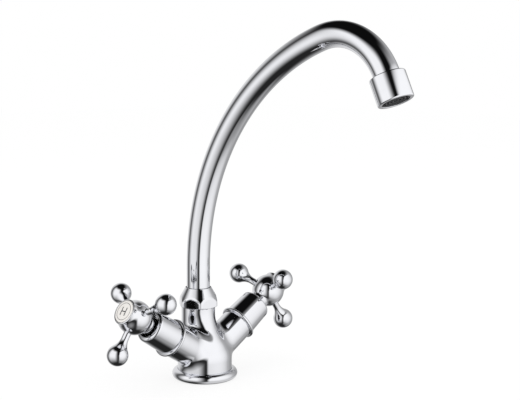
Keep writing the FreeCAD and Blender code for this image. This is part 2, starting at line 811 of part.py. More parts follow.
def make_sleeve(side, place):
    # Tapered cover with a beaded foot; a thin nut in its open end clamps it over the headwork.
    foot = dim.sleeve_inner_diameter / 2
    end = dim.sleeve_outer_diameter / 2
    bead_radius = dim.sleeve_bead_width / 2
    bead_root = dim.sleeve_bead_diameter / 2 - bead_radius
    bead_middle = flange_at + bead_radius
    bore = dim.bonnet_flange_diameter / 2 + dim.fit_gap
    recess = dim.sleeve_recess_diameter / 2
    web_hole = dim.bonnet_neck_diameter / 2 + dim.fit_gap
    edge = dim.sleeve_edge_share * (end - recess)
    bead_end = flange_at + dim.sleeve_bead_width
    keep(f"{side}_sleeve", turned(f"{side}_sleeve", [
        (bore, flange_at),
        (bead_root, flange_at),
        (bead_root + bead_radius, bead_middle, bead_radius, 1),
        (bead_root, bead_end, bead_radius, 1),
        (foot, bead_end),
        (end, sleeve_end - edge),
        (end - edge, sleeve_end, edge, 1),
        (recess, sleeve_end),
        (recess, recess_at),
        (web_hole, recess_at),
        (web_hole, recess_at - dim.sleeve_web),
        (bore, recess_at - dim.sleeve_web),
    ], place))
    blank_place = f"{place} * {frame(0, 0, recess_at)}"
    blank = hexagon(f"{side}_sleeve_blank", dim.sleeve_nut_flats, dim.sleeve_nut_height, blank_place)
    hole_radius = dim.bonnet_neck_diameter / 2 + dim.running_gap
    hole = cylinder(f"{side}_sleeve_nut_hole", hole_radius, dim.sleeve_nut_height, blank_place)
    keep(f"{side}_sleeve_nut", cut(f"{side}_sleeve_nut", blank, hole))


def make_spindle(side, place):
    # Turning half of one valve: spindle with its disc carrier, upper ceramic disc, seal, washer and clip.
    carrier = chamber_radius - dim.running_gap
    stem = dim.stem_diameter / 2
    groove = bonnet_bore - dim.stem_seal_section - dim.fit_gap
    half_groove = dim.stem_seal_section / 2 + dim.fit_gap
    seal_at = flange_at + dim.stem_groove_height
    clip_groove = dim.clip_groove_diameter / 2
    clip_top = clip_at + dim.clip_thickness
    tapped = dim.screw_diameter / 2
    spun = turned(f"{side}_spindle_spun", [
        (0, carrier_at),
        (carrier, carrier_at),
        (carrier, carrier_top),
        (stem, carrier_top),
        (stem, seal_at - half_groove),
        (groove, seal_at - half_groove),
        (groove, seal_at + half_groove),
        (stem, seal_at + half_groove),
        (stem, clip_at - dim.face_gap),
        (clip_groove, clip_at - dim.face_gap),
        (clip_groove, clip_top + dim.face_gap),
        (spline_radius, clip_top + dim.face_gap),
        (spline_radius, spindle_top),
        (tapped, spindle_top),
        (tapped, spindle_top - dim.tapped_depth),
        (0, spindle_top - dim.tapped_depth),
    ], place)
    key_place = f"{place} * {frame(0, 0, carrier_at - dim.key_height)}"
    key_height = dim.key_height + dim.carrier_thickness / 2
    key = block(f"{side}_key", dim.key_length, dim.key_width, key_height, key_place)
    keep(f"{side}_spindle", fused(f"{side}_spindle", [spun, key]))
    disc_place = f"{place} * {frame(0, 0, moving_disc_at)}"
    blank = plate(f"{side}_disc_blank", [(0, 0, ceramic_radius)], dim.moving_disc_thickness, disc_place)
    slot_depth = dim.key_height + dim.face_gap
    slot_place = f"{place} * {frame(0, 0, carrier_at - slot_depth)}"
    slot_width = dim.key_width + 2 * dim.fit_gap
    tools = [block(f"{side}_slot", 4 * ceramic_radius, slot_width, slot_depth, slot_place)]
    notch = dim.disc_notch_diameter / 2
    notch_out = dim.disc_port_offset + notch - dim.disc_port_diameter / 2
    for name, out in (("left", notch_out), ("right", -notch_out)):
        notch_place = f"{place} * {frame(0, out, moving_disc_at)}"
        tools.append(cylinder(f"{side}_{name}_notch", notch, dim.moving_disc_thickness, notch_place))
    keep(f"{side}_moving_disc", cut(f"{side}_moving_disc", blank, fused(f"{side}_disc_tools", tools)))
    washer_at = carrier_top + dim.face_gap
    washer_top = washer_at + dim.thrust_washer_thickness
    washer_rows = ring_rows(stem + dim.fit_gap, ceramic_radius, washer_at, washer_top)
    keep(f"{side}_thrust_washer", turned(f"{side}_thrust_washer", washer_rows, place))
    seal_place = f"{place} * {frame(0, 0, seal_at)}"
    seal(f"{side}_spindle_seal", bonnet_bore, dim.stem_seal_section, seal_place)
    clip_rows = ring_rows(clip_groove + dim.running_gap, dim.clip_diameter / 2, clip_at, clip_top)
    keep(f"{side}_clip", turned(f"{side}_clip", clip_rows, place, sweep=dim.clip_angle))


def make_handle(side, place):
    # Ball hub with a necked back and a collared front, its screw, index disc and three ball spokes.
    hub_place = f"{place} * {frame(0, 0, hub_at, rest_turns[side])}"
    neck = dim.hub_neck_diameter / 2
    front = dim.hub_front_diameter / 2
    edge = dim.hub_front_edge
    reach = dim.hub_front_reach
    neck_meets = root(hub_radius * hub_radius - neck * neck)
    front_meets = root(hub_radius * hub_radius - front * front)
    disc_seat = reach - dim.disc_seat_depth
    floor_top = -dim.screw_floor_drop
    floor_bottom = floor_top - dim.screw_floor_thickness
    well = dim.screw_well_diameter / 2
    screw_hole = dim.screw_diameter / 2 + dim.fit_gap
    spline_bore = spline_radius + dim.running_gap
    disc_bore = dim.disc_diameter / 2 + dim.fit_gap
    hub = turned(f"{side}_hub", [
        (spline_bore, -dim.hub_neck_reach),
        (neck, -dim.hub_neck_reach),
        (neck, -neck_meets),
        (hub_radius, 0, hub_radius, 1),
        (front, front_meets, hub_radius, 1),
        (front, reach - edge),
        (front - edge, reach, edge, 1),
        (disc_bore, reach),
        (disc_bore, disc_seat),
        (well, disc_seat),
        (well, floor_top),
        (screw_hole, floor_top),
        (screw_hole, floor_bottom),
        (spline_bore, floor_bottom),
    ], hub_place)
    stud = dim.spoke_stud_diameter / 2
    stem = dim.spoke_stem_diameter / 2
    socket = sketch_on(hub, "XZ_Plane", f"{side}_spoke_socket")
    outline(socket, [
        (dim.spoke_stud_start - dim.fit_gap, 0),
        (dim.spoke_stud_start - dim.fit_gap, stud + dim.running_gap),
        (dim.spoke_seat, stud + dim.running_gap),
        (dim.spoke_seat, stem + dim.fit_gap),
        (hub_radius + stem, stem + dim.fit_gap),
        (hub_radius + stem, 0),
    ])
    groove = hub.newObject("PartDesign::Groove", f"{side}_socket_cut")
    groove.Profile = socket
    groove.ReferenceAxis = (socket, ["H_Axis"])
    groove.Angle = 360
    pattern = hub.newObject("PartDesign::PolarPattern", f"{side}_socket_pattern")
    pattern.Originals = [groove]
    pattern.Axis = (plane(hub, "Z_Axis"), [""])
    pattern.Angle = 360
    pattern.Occurrences = spokes
    hub.Tip = pattern
    keep(f"{side}_hub", hub)
    make_handle_screw(side, hub_place, floor_top)
    make_index_disc(side, hub_place, disc_seat)
    for number in range(spokes):
        make_spoke(side, number, hub_place)


def make_handle_screw(side, hub_place, floor_top):
    shank = dim.screw_diameter / 2 - dim.running_gap
    head = dim.screw_head_diameter / 2
    head_top = floor_top + dim.screw_head_height
    spun = turned(f"{side}_screw_spun", [
        (0, floor_top - dim.screw_length),
        (shank, floor_top - dim.screw_length),
        (shank, floor_top),
        (head, floor_top),
        (head, head_top),
        (0, head_top),
    ], hub_place)
    slot_place = f"{hub_place} * {frame(0, 0, head_top - dim.screw_slot_depth)}"
    slot_length = 2 * dim.screw_head_diameter
    slot = block(f"{side}_screw_slot", slot_length, dim.screw_slot_width, dim.screw_slot_depth, slot_place)
    keep(f"{side}_handle_screw", cut(f"{side}_handle_screw", spun, slot))


def make_index_disc(side, hub_place, disc_seat):
    # White glazed disc that covers the screw.
    rim = dim.disc_diameter / 2
    top = dim.hub_front_reach + dim.disc_proud
    keep(f"{side}_index_disc", turned(f"{side}_index_disc", [
        (0, disc_seat),
        (rim, disc_seat),
        (rim, top - dim.disc_edge),
        (rim - dim.disc_edge, top, dim.disc_edge, 1),
        (0, top),
    ], hub_place))


def make_spoke(side, number, hub_place):
    # Screwed-in spoke: stud, slim stem and a hollow flare that runs into the ball.
    stud = dim.spoke_stud_diameter / 2
    stem = dim.spoke_stem_diameter / 2
    ball = dim.spoke_ball_diameter / 2
    flare = dim.spoke_flare_radius
    flare_at = dim.spoke_reach - root((ball - stem) * (2 * flare + ball + stem))
    share = ball / (ball + flare)
    meet_x = dim.spoke_reach - (dim.spoke_reach - flare_at) * share
    meet_r = (stem + flare) * share
    label = f"{side}_spoke_{number + 1}"
    place = f"{hub_place} * {frame(0, 0, 0, 360 / spokes * number)}"
    keep(label, turned(label, [
        (dim.spoke_stud_start, 0),
        (dim.spoke_stud_start, stud),
        (dim.spoke_seat, stud),
        (dim.spoke_seat, stem),
        (flare_at, stem),
        (meet_x, meet_r, flare, 1),
        (dim.spoke_reach, ball, ball, -1),
        (dim.spoke_reach + ball, 0, ball, -1),
    ], place, about="H_Axis"))


make_casting()
make_base()
make_spout_nut()
make_spout_tube()
make_ferrule()
make_aerator()
for side, place in valve_places.items():
    make_headwork(side, place)
    make_sleeve(side, place)
    make_spindle(side, place)
    make_handle(side, place)
doc.recompute()

for thing in doc.Objects:
    if "Invalid" in thing.State or "Error" in thing.State:
        raise RuntimeError(f"{thing.Name} failed: {thing.State}")
os.makedirs("parts", exist_ok=True)
for node in nodes:
    if node.Shape.isNull() or not node.Shape.isValid():
        raise RuntimeError(f"{node.Label} has no valid shape")
for node in nodes:
    node.Shape.exportStep(f"parts/{node.Label}.step")
    print(node.Label, len(node.Shape.Solids), round(node.Shape.Volume, 2))
print("pieces", len(nodes))
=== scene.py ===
import json
import bpy
import numpy as np
from mathutils import Matrix


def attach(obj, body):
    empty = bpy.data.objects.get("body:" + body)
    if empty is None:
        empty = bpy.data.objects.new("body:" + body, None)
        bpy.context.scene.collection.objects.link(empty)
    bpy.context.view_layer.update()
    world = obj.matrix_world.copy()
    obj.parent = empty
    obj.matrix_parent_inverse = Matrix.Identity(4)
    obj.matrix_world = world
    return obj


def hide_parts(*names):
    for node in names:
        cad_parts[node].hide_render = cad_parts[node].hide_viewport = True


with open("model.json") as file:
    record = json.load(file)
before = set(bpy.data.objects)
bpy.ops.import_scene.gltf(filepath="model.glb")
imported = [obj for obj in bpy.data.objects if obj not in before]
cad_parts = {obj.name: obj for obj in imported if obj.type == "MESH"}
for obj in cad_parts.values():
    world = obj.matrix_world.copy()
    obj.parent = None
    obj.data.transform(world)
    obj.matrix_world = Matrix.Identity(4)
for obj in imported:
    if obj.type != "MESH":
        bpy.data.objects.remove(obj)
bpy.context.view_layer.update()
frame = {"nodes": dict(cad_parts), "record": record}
scene = bpy.context.scene
mm = 0.001
up = np.array([0.0, 0.0, 1.0])
east = np.array([1.0, 0.0, 0.0])
south = np.array([0.0, -1.0, 0.0])

# mm and degrees; focal and width are in pixels of the picture, nearest in metres
shot = {"azimuth": 42.0, "distance": 870.4, "height": 255.8, "focal": 1154.5, "width": 520.0,
        "yaw": 2.755, "pitch": -7.7, "roll": 0.4, "sensor": 36.0, "nearest": 0.01}


def aim(thing, right, above, ahead, place):
    # stands a camera or a lamp at place, in metres, so that it looks ahead
    matrix = np.eye(4)
    matrix[:3] = np.stack([right, above, -ahead, place], -1)
    thing.matrix_world = Matrix(matrix.tolist())
    scene.collection.objects.link(thing)


def makeCamera():
    # stands on a circle round the tap and looks in with a small yaw, pitch and roll
    turn, yaw, pitch, roll = np.radians([shot["azimuth"], shot["yaw"], shot["pitch"], shot["roll"]])
    heading = turn + yaw
    level = np.array([np.sin(heading), np.cos(heading), 0.0])
    right = np.array([np.cos(heading), -np.sin(heading), 0.0])
    ahead = level * np.cos(pitch) + up * np.sin(pitch)
    above = up * np.cos(pitch) - level * np.sin(pitch)
    rolledRight = right * np.cos(roll) + above * np.sin(roll)
    rolledUp = above * np.cos(roll) - right * np.sin(roll)
    place = np.array([-np.sin(turn), -np.cos(turn), 0.0]) * shot["distance"] + up * shot["height"]
    data = bpy.data.cameras.new("photoCamera")
    data.sensor_fit = "HORIZONTAL"
    data.sensor_width = shot["sensor"]
    data.lens = shot["sensor"] * shot["focal"] / shot["width"]
    data.clip_start = shot["nearest"]
    camera = bpy.data.objects.new("photoCamera", data)
    aim(camera, rolledRight, rolledUp, ahead, place * mm)
    scene.camera = camera


def newMaterial(name):
    material = bpy.data.materials.new(name)
    material.use_nodes = True
    material.node_tree.nodes.clear()
    return material, material.node_tree.nodes, material.node_tree.links


def gridFaces(rows, columns, wrapRows=False, wrapColumns=False):
    # quads of a rows x columns grid of points, closed round either way where asked
    r = np.arange(rows if wrapRows else rows - 1)
    c = np.arange(columns if wrapColumns else columns - 1)
    r, c = np.meshgrid(r, c, indexing="ij")
    r2, c2 = (r + 1) % rows, (c + 1) % columns
    quads = np.stack([r * columns + c, r * columns + c2, r2 * columns + c2, r2 * columns + c], -1)
    return quads.reshape(-1, 4)


def poleFaces(count, columns):
    # triangles from both ends of a grid of count points to the two points that follow it
    around, after = np.arange(columns), np.roll(np.arange(columns), -1)
    first = np.stack([np.full(columns, count), after, around], -1)
    last = np.stack([count - columns + around, count - columns + after, np.full(columns, count + 1)], -1)
    return np.concatenate([first, last])


def meshFrom(name, points, quads, triangles=None, normals=None):
    # arrays of points (metres), quads and pole triangles straight into a mesh, smooth shaded
    corners, starts = quads.ravel(), np.arange(len(quads)) * 4
    if triangles is not None:
        starts = np.concatenate([starts, corners.size + np.arange(len(triangles)) * 3])
        corners = np.concatenate([corners, triangles.ravel()])
    mesh = bpy.data.meshes.new(name)
    mesh.vertices.add(len(points))
    mesh.vertices.foreach_set("co", np.ascontiguousarray(points, np.float32).ravel())
    mesh.loops.add(corners.size)
    mesh.loops.foreach_set("vertex_index", corners.astype(np.int32))
    mesh.polygons.add(len(starts))
    mesh.polygons.foreach_set("loop_start", starts.astype(np.int32))
    mesh.update(calc_edges=True)
    mesh.validate()
    mesh.polygons.foreach_set("use_smooth", np.ones(len(mesh.polygons), bool))
    if normals is not None:
        mesh.normals_split_custom_set_from_vertices(normals.tolist())
    thing = bpy.data.objects.new(name, mesh)
    scene.collection.objects.link(thing)
    return thing


def ramp(x, low, high):
    # smooth step from 0 at low to 1 at high
    t = np.clip((x - low) / (high - low), 0.0, 1.0)
    return t * t * (3.0 - 2.0 * t)


tent = {
    "radius": 0.7, "centre": 0.08, "columns": 361, "rows": 181,  # the first two in metres
    # dim glow of the top, of the low part and of a band round the middle, and the elevations where they fade
    "top": 0.005, "low": 0.02, "lowFade": (-60, -10), "room": 0.02, "roomBand": (-60, -30, 0, 40),
    # level, then the azimuths and the elevations between which each panel fades in and out
    "sideWall": (0.52, (31, 61, 110, 170), (-60, -15, 36, 68)),
    "leftBox": (1.08, (-115, -70, -32, 4), (-66, 4, 35, 60)),
    "backdrop": (0.80, (125, 193, 213, 256), (-72, -12, 24, 59)),
    "floorGlow": (0.34, (0, 31, 122, 145), (-79, -56, -49, -24)),
}
# lengths in mm
card = {"level": 1.13, "turn": 62.0, "distance": 262.0, "across": (-385, -250, -32, 690),
        "height": (-518, 76, 300, 359), "slant": 0.5, "slantFrom": 100.0, "seenFrom": (0.0, 0.0, 60.0),
        "columns": 160, "rows": 160}


def window(x, edges):
    # fades in between the first two edges and out between the last two
    return ramp(x, edges[0], edges[1]) * (1 - ramp(x, edges[2], edges[3]))


def photoWays():
    # level unit vectors from the tap towards the camera and to the picture's right
    turn = np.radians(shot["azimuth"])
    return np.array([-np.sin(turn), -np.cos(turn), 0.0]), np.array([np.cos(turn), -np.sin(turn), 0.0])


def glowing(thing, name, glow, level=None):
    # cloth that shines with the attribute glow, or at one level where glow then fades it to clear;
    # it is seen only in reflections
    value = thing.data.attributes.new("glow", "FLOAT", "POINT")
    value.data.foreach_set("value", glow.ravel().astype(np.float32))
    material, nodes, links = newMaterial(name)
    out = nodes.new("ShaderNodeOutputMaterial")
    shine = nodes.new("ShaderNodeEmission")
    mask = nodes.new("ShaderNodeAttribute")
    mask.attribute_name = "glow"
    if level is None:
        links.new(mask.outputs["Fac"], shine.inputs["Strength"])
        links.new(shine.outputs["Emission"], out.inputs["Surface"])
    else:
        shine.inputs["Strength"].default_value = level
        clear = nodes.new("ShaderNodeBsdfTransparent")
        fade = nodes.new("ShaderNodeMixShader")
        links.new(mask.outputs["Fac"], fade.inputs["Fac"])
        links.new(clear.outputs["BSDF"], fade.inputs[1])
        links.new(shine.outputs["Emission"], fade.inputs[2])
        links.new(fade.outputs["Shader"], out.inputs["Surface"])
    thing.data.materials.append(material)
    for way in ("camera", "diffuse", "transmission", "volume_scatter", "shadow"):
        setattr(thing, f"visible_{way}", False)


def tentGlow(azimuth, elevation):
    # dark room + sum of soft panels, each a window of azimuth times a window of elevation
    glow = tent["top"] + (tent["low"] - tent["top"]) * (1 - ramp(elevation, *tent["lowFade"]))
    glow = glow + tent["room"] * window(elevation, tent["roomBand"])
    for panel in ("sideWall", "leftBox", "backdrop", "floorGlow"):
        level, across, height = tent[panel]
        around = azimuth % 360 if across[3] > 180 else azimuth
        glow = glow + level * window(around, across) * window(elevation, height)
    return glow


def makeTent():
    # light tent: a ball seen from inside, as a grid of azimuth from the camera and elevation
    azimuth, elevation = np.meshgrid(np.linspace(-180, 180, tent["columns"]),
                                     np.linspace(-90, 90, tent["rows"]), indexing="ij")
    toward, right = photoWays()
    az, el = np.radians(azimuth)[..., None], np.radians(elevation)[..., None]
    points = (toward * np.cos(az) + right * np.sin(az)) * np.cos(el) + up * np.sin(el)
    points = points * tent["radius"] + up * tent["centre"]
    thing = meshFrom("lightTent", points.reshape(-1, 3), gridFaces(tent["columns"], tent["rows"]))
    glowing(thing, "tentCloth", tentGlow(azimuth, elevation))


def makeCard():
    # upright white card near the tap on the right, u across and v up, which fades out at its edges;
    # it is clear where the tent behind it is brighter
    u, v = np.meshgrid(np.linspace(card["across"][0], card["across"][3], card["columns"]),
                       np.linspace(card["height"][0], card["height"][3], card["rows"]), indexing="ij")
    toward, right = photoWays()
    turn = np.radians(card["turn"])
    facing = toward * np.cos(turn) + right * np.sin(turn)
    across = right * np.cos(turn) - toward * np.sin(turn)
    points = facing * card["distance"] + across * u[..., None] + up * v[..., None]
    ray = points - np.array(card["seenFrom"])
    azimuth = np.degrees(np.arctan2(ray @ right, ray @ toward))
    elevation = np.degrees(np.arcsin(ray[..., 2] / np.linalg.norm(ray, axis=-1)))
    behind = tentGlow(azimuth, elevation)
    near = ramp(u - card["slant"] * np.maximum(v - card["slantFrom"], 0.0), *card["across"][:2])
    shine = card["level"] * near * (1 - ramp(u, *card["across"][2:])) * window(v, card["height"])
    mask = np.clip((shine - behind) / (card["level"] - behind), 0.0, 1.0)
    thing = meshFrom("whiteCard", points.reshape(-1, 3) * mm, gridFaces(card["columns"], card["rows"]))
    glowing(thing, "cardPaper", mask, card["level"])


apron = {"level": 0.7, "radii": (23.0, 25.0, 27.0, 31.0), "underArm": (0.55, 0.9), "lift": 0.1,
         "columns": 24, "rows": 96}


def makeApron():
    # pale ring of floor close round the base, (r cos t, r sin t, lift), which fades out under the hot arm
    r, t = np.meshgrid(np.linspace(apron["radii"][0], apron["radii"][3], apron["columns"]),
                       np.linspace(0, 2 * np.pi, apron["rows"], endpoint=False), indexing="ij")
    points = np.stack([r * np.cos(t), r * np.sin(t), np.full_like(r, apron["lift"])], -1)
    quads = gridFaces(apron["columns"], apron["rows"], False, True)[:, ::-1]
    thing = meshFrom("apron", points.reshape(-1, 3) * mm, quads)
    mask = window(r, apron["radii"]) * (1 - ramp(-np.cos(t), *apron["underArm"]))
    glowing(thing, "apronCloth", mask, apron["level"])


floorLook = {"size": 6.0, "cells": 9, "colour": (0.98, 0.98, 0.98, 1.0), "fill": 0.8}  # size in metres


def makeFloor():
    # pale sheet; the camera sees part of it as plain white, so that the shadow on it stays light
    half, cells = floorLook["size"] / 2, floorLook["cells"]
    u, v = np.meshgrid(np.linspace(-half, half, cells), np.linspace(-half, half, cells), indexing="ij")
    points = np.stack([u, v, np.zeros_like(u)], -1).reshape(-1, 3)
    thing = meshFrom("floor", points, gridFaces(cells, cells)[:, ::-1])
    material, nodes, links = newMaterial("paleFloor")
    out = nodes.new("ShaderNodeOutputMaterial")
    cloth = nodes.new("ShaderNodeBsdfDiffuse")
    cloth.inputs["Color"].default_value = floorLook["colour"]
    white = nodes.new("ShaderNodeEmission")
    path = nodes.new("ShaderNodeLightPath")
    seen = path.outputs["Is Camera Ray"]
    fill = nodes.new("ShaderNodeMixShader")
    links.new(mathNode(material.node_tree, "MULTIPLY", seen, floorLook["fill"]), fill.inputs["Fac"])
    links.new(cloth.outputs["BSDF"], fill.inputs[1])
    links.new(white.outputs["Emission"], fill.inputs[2])
    links.new(fill.outputs["Shader"], out.inputs["Surface"])
    thing.data.materials.append(material)
    thing.visible_glossy = False


sky = {"colour": (1, 1, 1, 1), "strength": 1.0}
# places and sizes in metres
lamps = {
    "leftBox": {"place": (-1.5, 0.1, 0.9), "size": 1.1, "power": 5.0},
    "rightBox": {"place": (0.5, -1.5, 1.0), "size": 1.1, "power": 5.0},
}


def makeLights():
    world = bpy.data.worlds.new("studio")
    world.use_nodes = True
    background = world.node_tree.nodes["Background"]
    background.inputs["Color"].default_value = sky["colour"]
    background.inputs["Strength"].default_value = sky["strength"]
    scene.world = world
    for name, look in lamps.items():
        data = bpy.data.lights.new(name, "AREA")
        data.size = look["size"]
        data.energy = look["power"]
        lamp = bpy.data.objects.new(name, data)
        away = np.array(look["place"], float)
        ahead = -away / np.linalg.norm(away)
        right = np.cross(ahead, up)
        right /= np.linalg.norm(right)
        aim(lamp, right, np.cross(right, ahead), ahead, away)
        lamp.visible_glossy = False
        lamp.visible_camera = False


def newGroup(name, *given):
    # node group with a Vector, the given (name, kind, value) inputs, and a Tint, Mask and Height to put out
    group = bpy.data.node_groups.new(name, "ShaderNodeTree")
    for title, kind, value in (("Vector", "Vector", (0.0, 0.0, 0.0)),) + given:
        socket = group.interface.new_socket(title, in_out="INPUT", socket_type=f"NodeSocket{kind}")
        socket.default_value = value
    for title, kind in (("Tint", "Color"), ("Mask", "Float"), ("Height", "Float")):
        group.interface.new_socket(title, in_out="OUTPUT", socket_type=f"NodeSocket{kind}")
    return group, group.nodes.new("NodeGroupInput"), group.nodes.new("NodeGroupOutput")


def mathNode(group, operation, a, b=0.0):
    # one Math node; each side is a socket or a plain number
    node = group.nodes.new("ShaderNodeMath")
    node.operation = operation
    for socket, value in zip(node.inputs, (a, b)):
        if isinstance(value, (int, float)):
            socket.default_value = value
        else:
            group.links.new(value, socket)
    return node.outputs["Value"]


def spread(group, value, low, high):
    # 0 at low to 1 at high, eased
    node = group.nodes.new("ShaderNodeMapRange")
    node.interpolation_type = "SMOOTHSTEP"
    node.inputs["From Min"].default_value = low
    node.inputs["From Max"].default_value = high
    group.links.new(value, node.inputs["Value"])
    return node.outputs["Result"]


def noise(group, given, share, detail):
    # noise on the group's Vector, at a share of its Scale
    node = group.nodes.new("ShaderNodeTexNoise")
    node.inputs["Detail"].default_value = detail
    group.links.new(given.outputs["Vector"], node.inputs["Vector"])
    group.links.new(mathNode(group, "MULTIPLY", given.outputs["Scale"], share), node.inputs["Scale"])
    return node.outputs["Fac"]


def putOut(group, given, result, mask, height):
    # tint = 1 - Contrast x mask
    tint = mathNode(group, "SUBTRACT", 1.0, mathNode(group, "MULTIPLY", mask, given.outputs["Contrast"]))
    for title, value in (("Tint", tint), ("Mask", mask), ("Height", height)):
        group.links.new(value, result.inputs[title])
    return group


def makeGrain():
    # fine mottled grain of a moulded, cast or sawn face
    group, given, result = newGroup("fineGrain", ("Scale", "Float", 900.0), ("Contrast", "Float", 0.1))
    fine = noise(group, given, share=1.0, detail=5.0)
    return putOut(group, given, result, spread(group, fine, low=0.3, high=0.7), fine)


def makeRipple():
    # slow waves left by the polishing wheel, and broad patches of water haze
    group, given, result = newGroup("polishRipple", ("Scale", "Float", 60.0), ("Contrast", "Float", 0.02))
    wave = noise(group, given, share=1.0, detail=1.0)
    haze = spread(group, noise(group, given, share=2.6, detail=6.0), low=0.45, high=0.8)
    return putOut(group, given, result, haze, wave)


def makeLatheLines():
    # rings cut by a tool: sine of the distance along Axis, the same on both sides of the tap, a little uneven
    group, given, result = newGroup("latheLines", ("Scale", "Float", 300.0), ("Contrast", "Float", 0.1),
                                    ("Axis", "Vector", (0.0, 0.0, 1.0)), ("Pitch", "Float", 12000.0))
    folded = group.nodes.new("ShaderNodeVectorMath")
    folded.operation = "ABSOLUTE"
    group.links.new(given.outputs["Vector"], folded.inputs[0])
    far = group.nodes.new("ShaderNodeVectorMath")
    far.operation = "DOT_PRODUCT"
    group.links.new(folded.outputs["Vector"], far.inputs[0])
    group.links.new(given.outputs["Axis"], far.inputs[1])
    turns = mathNode(group, "MULTIPLY", far.outputs["Value"], given.outputs["Pitch"])
    wander = 4.0  # radians by which the noise shifts a ring
    uneven = mathNode(group, "MULTIPLY", noise(group, given, share=1.0, detail=2.0), wander)
    wave = mathNode(group, "SINE", mathNode(group, "ADD", turns, uneven))
    return putOut(group, given, result, spread(group, wave, low=-1.0, high=1.0), wave)


def makeSpecks():
    # sparse round specks, one in each cell of a web of cells that its random shade picks out
    group, given, result = newGroup("specks", ("Scale", "Float", 800.0), ("Contrast", "Float", 0.2))
    cells = group.nodes.new("ShaderNodeTexVoronoi")
    group.links.new(given.outputs["Vector"], cells.inputs["Vector"])
    group.links.new(given.outputs["Scale"], cells.inputs["Scale"])
    shade = group.nodes.new("ShaderNodeSeparateColor")
    group.links.new(cells.outputs["Color"], shade.inputs["Color"])
    dots = mathNode(group, "SUBTRACT", 1.0, spread(group, cells.outputs["Distance"], low=0.1, high=0.35))
    picked = spread(group, shade.outputs["Red"], low=0.62, high=0.7)
    mask = mathNode(group, "MULTIPLY", dots, picked)
    return putOut(group, given, result, mask, mask)


valveAxis = (0.848, 0.0, 0.530)  # along an arm, which rises 32 degrees
mixSockets = {"a": 6, "b": 7, "result": 2}  # the colour sockets of a Mix node
finishes = {
    # colour, roughness from clean to hazed, and effects with their inputs and the depth of their relief
    "chromePlate": {"colour": (0.822, 0.828, 0.858), "metallic": 1.0, "rough": (0.022, 0.05), "effects": [
        ("polishRipple", {"Scale": 42.0, "Contrast": 0.025}, 1.2e-5),
        ("fineGrain", {"Scale": 2600.0, "Contrast": 0.02}, 2e-7)]},
    "nickelBrass": {"colour": (0.66, 0.65, 0.62), "metallic": 1.0, "rough": (0.16, 0.32), "effects": [
        ("fineGrain", {"Scale": 1800.0, "Contrast": 0.16}, 2e-6),
        ("latheLines", {"Axis": valveAxis, "Pitch": 16000.0, "Contrast": 0.08}, 4e-6)]},
    "turnedBrass": {"colour": (0.75, 0.56, 0.27), "metallic": 1.0, "rough": (0.18, 0.36), "effects": [
        ("fineGrain", {"Scale": 1500.0, "Contrast": 0.2}, 2e-6),
        ("latheLines", {"Pitch": 14000.0, "Contrast": 0.1}, 5e-6)]},
    "sealRubber": {"colour": (0.022, 0.022, 0.024), "metallic": 0.0, "rough": (0.48, 0.7), "effects": [
        ("fineGrain", {"Scale": 2400.0, "Contrast": 0.35}, 1.2e-5),
        ("specks", {"Scale": 1500.0, "Contrast": 0.3}, 4e-6)]},
    "paleNylon": {"colour": (0.78, 0.75, 0.66), "metallic": 0.0, "rough": (0.34, 0.5), "effects": [
        ("fineGrain", {"Scale": 1600.0, "Contrast": 0.08}, 4e-6),
        ("polishRipple", {"Scale": 160.0, "Contrast": 0.06}, 1e-5)]},
    "darkPlastic": {"colour": (0.05, 0.05, 0.054), "metallic": 0.0, "rough": (0.3, 0.5), "effects": [
        ("fineGrain", {"Scale": 3000.0, "Contrast": 0.3}, 6e-6),
        ("specks", {"Scale": 900.0, "Contrast": -0.4}, 3e-6)]},
    "brightSteel": {"colour": (0.62, 0.62, 0.63), "metallic": 1.0, "rough": (0.2, 0.38), "effects": [
        ("fineGrain", {"Scale": 2200.0, "Contrast": 0.18}, 2e-6),
        ("latheLines", {"Axis": valveAxis, "Pitch": 21000.0, "Contrast": 0.12}, 4e-6)]},
    "glazedWhite": {"colour": (0.76, 0.735, 0.705), "metallic": 0.0, "rough": (0.1, 0.2), "effects": [
        ("polishRipple", {"Scale": 220.0, "Contrast": 0.035}, 6e-6),
        ("specks", {"Scale": 700.0, "Contrast": 0.10}, 0.0)],
        "coat": 0.5, "ring": {"ink": (0.09, 0.09, 0.095, 1.0), "reach": 6.6, "half": 0.16, "soft": 0.06}},
    "sinteredWhite": {"colour": (0.82, 0.81, 0.78), "metallic": 0.0, "rough": (0.22, 0.36), "effects": [
        ("fineGrain", {"Scale": 3200.0, "Contrast": 0.07}, 1.5e-6),
        ("specks", {"Scale": 1100.0, "Contrast": 0.25}, 0.0)]},
    "printInk": {"colour": (0.075, 0.075, 0.08), "metallic": 0.0, "rough": (0.3, 0.5), "effects": [
        ("fineGrain", {"Scale": 2500.0, "Contrast": 0.3}, 2e-6)]},
}


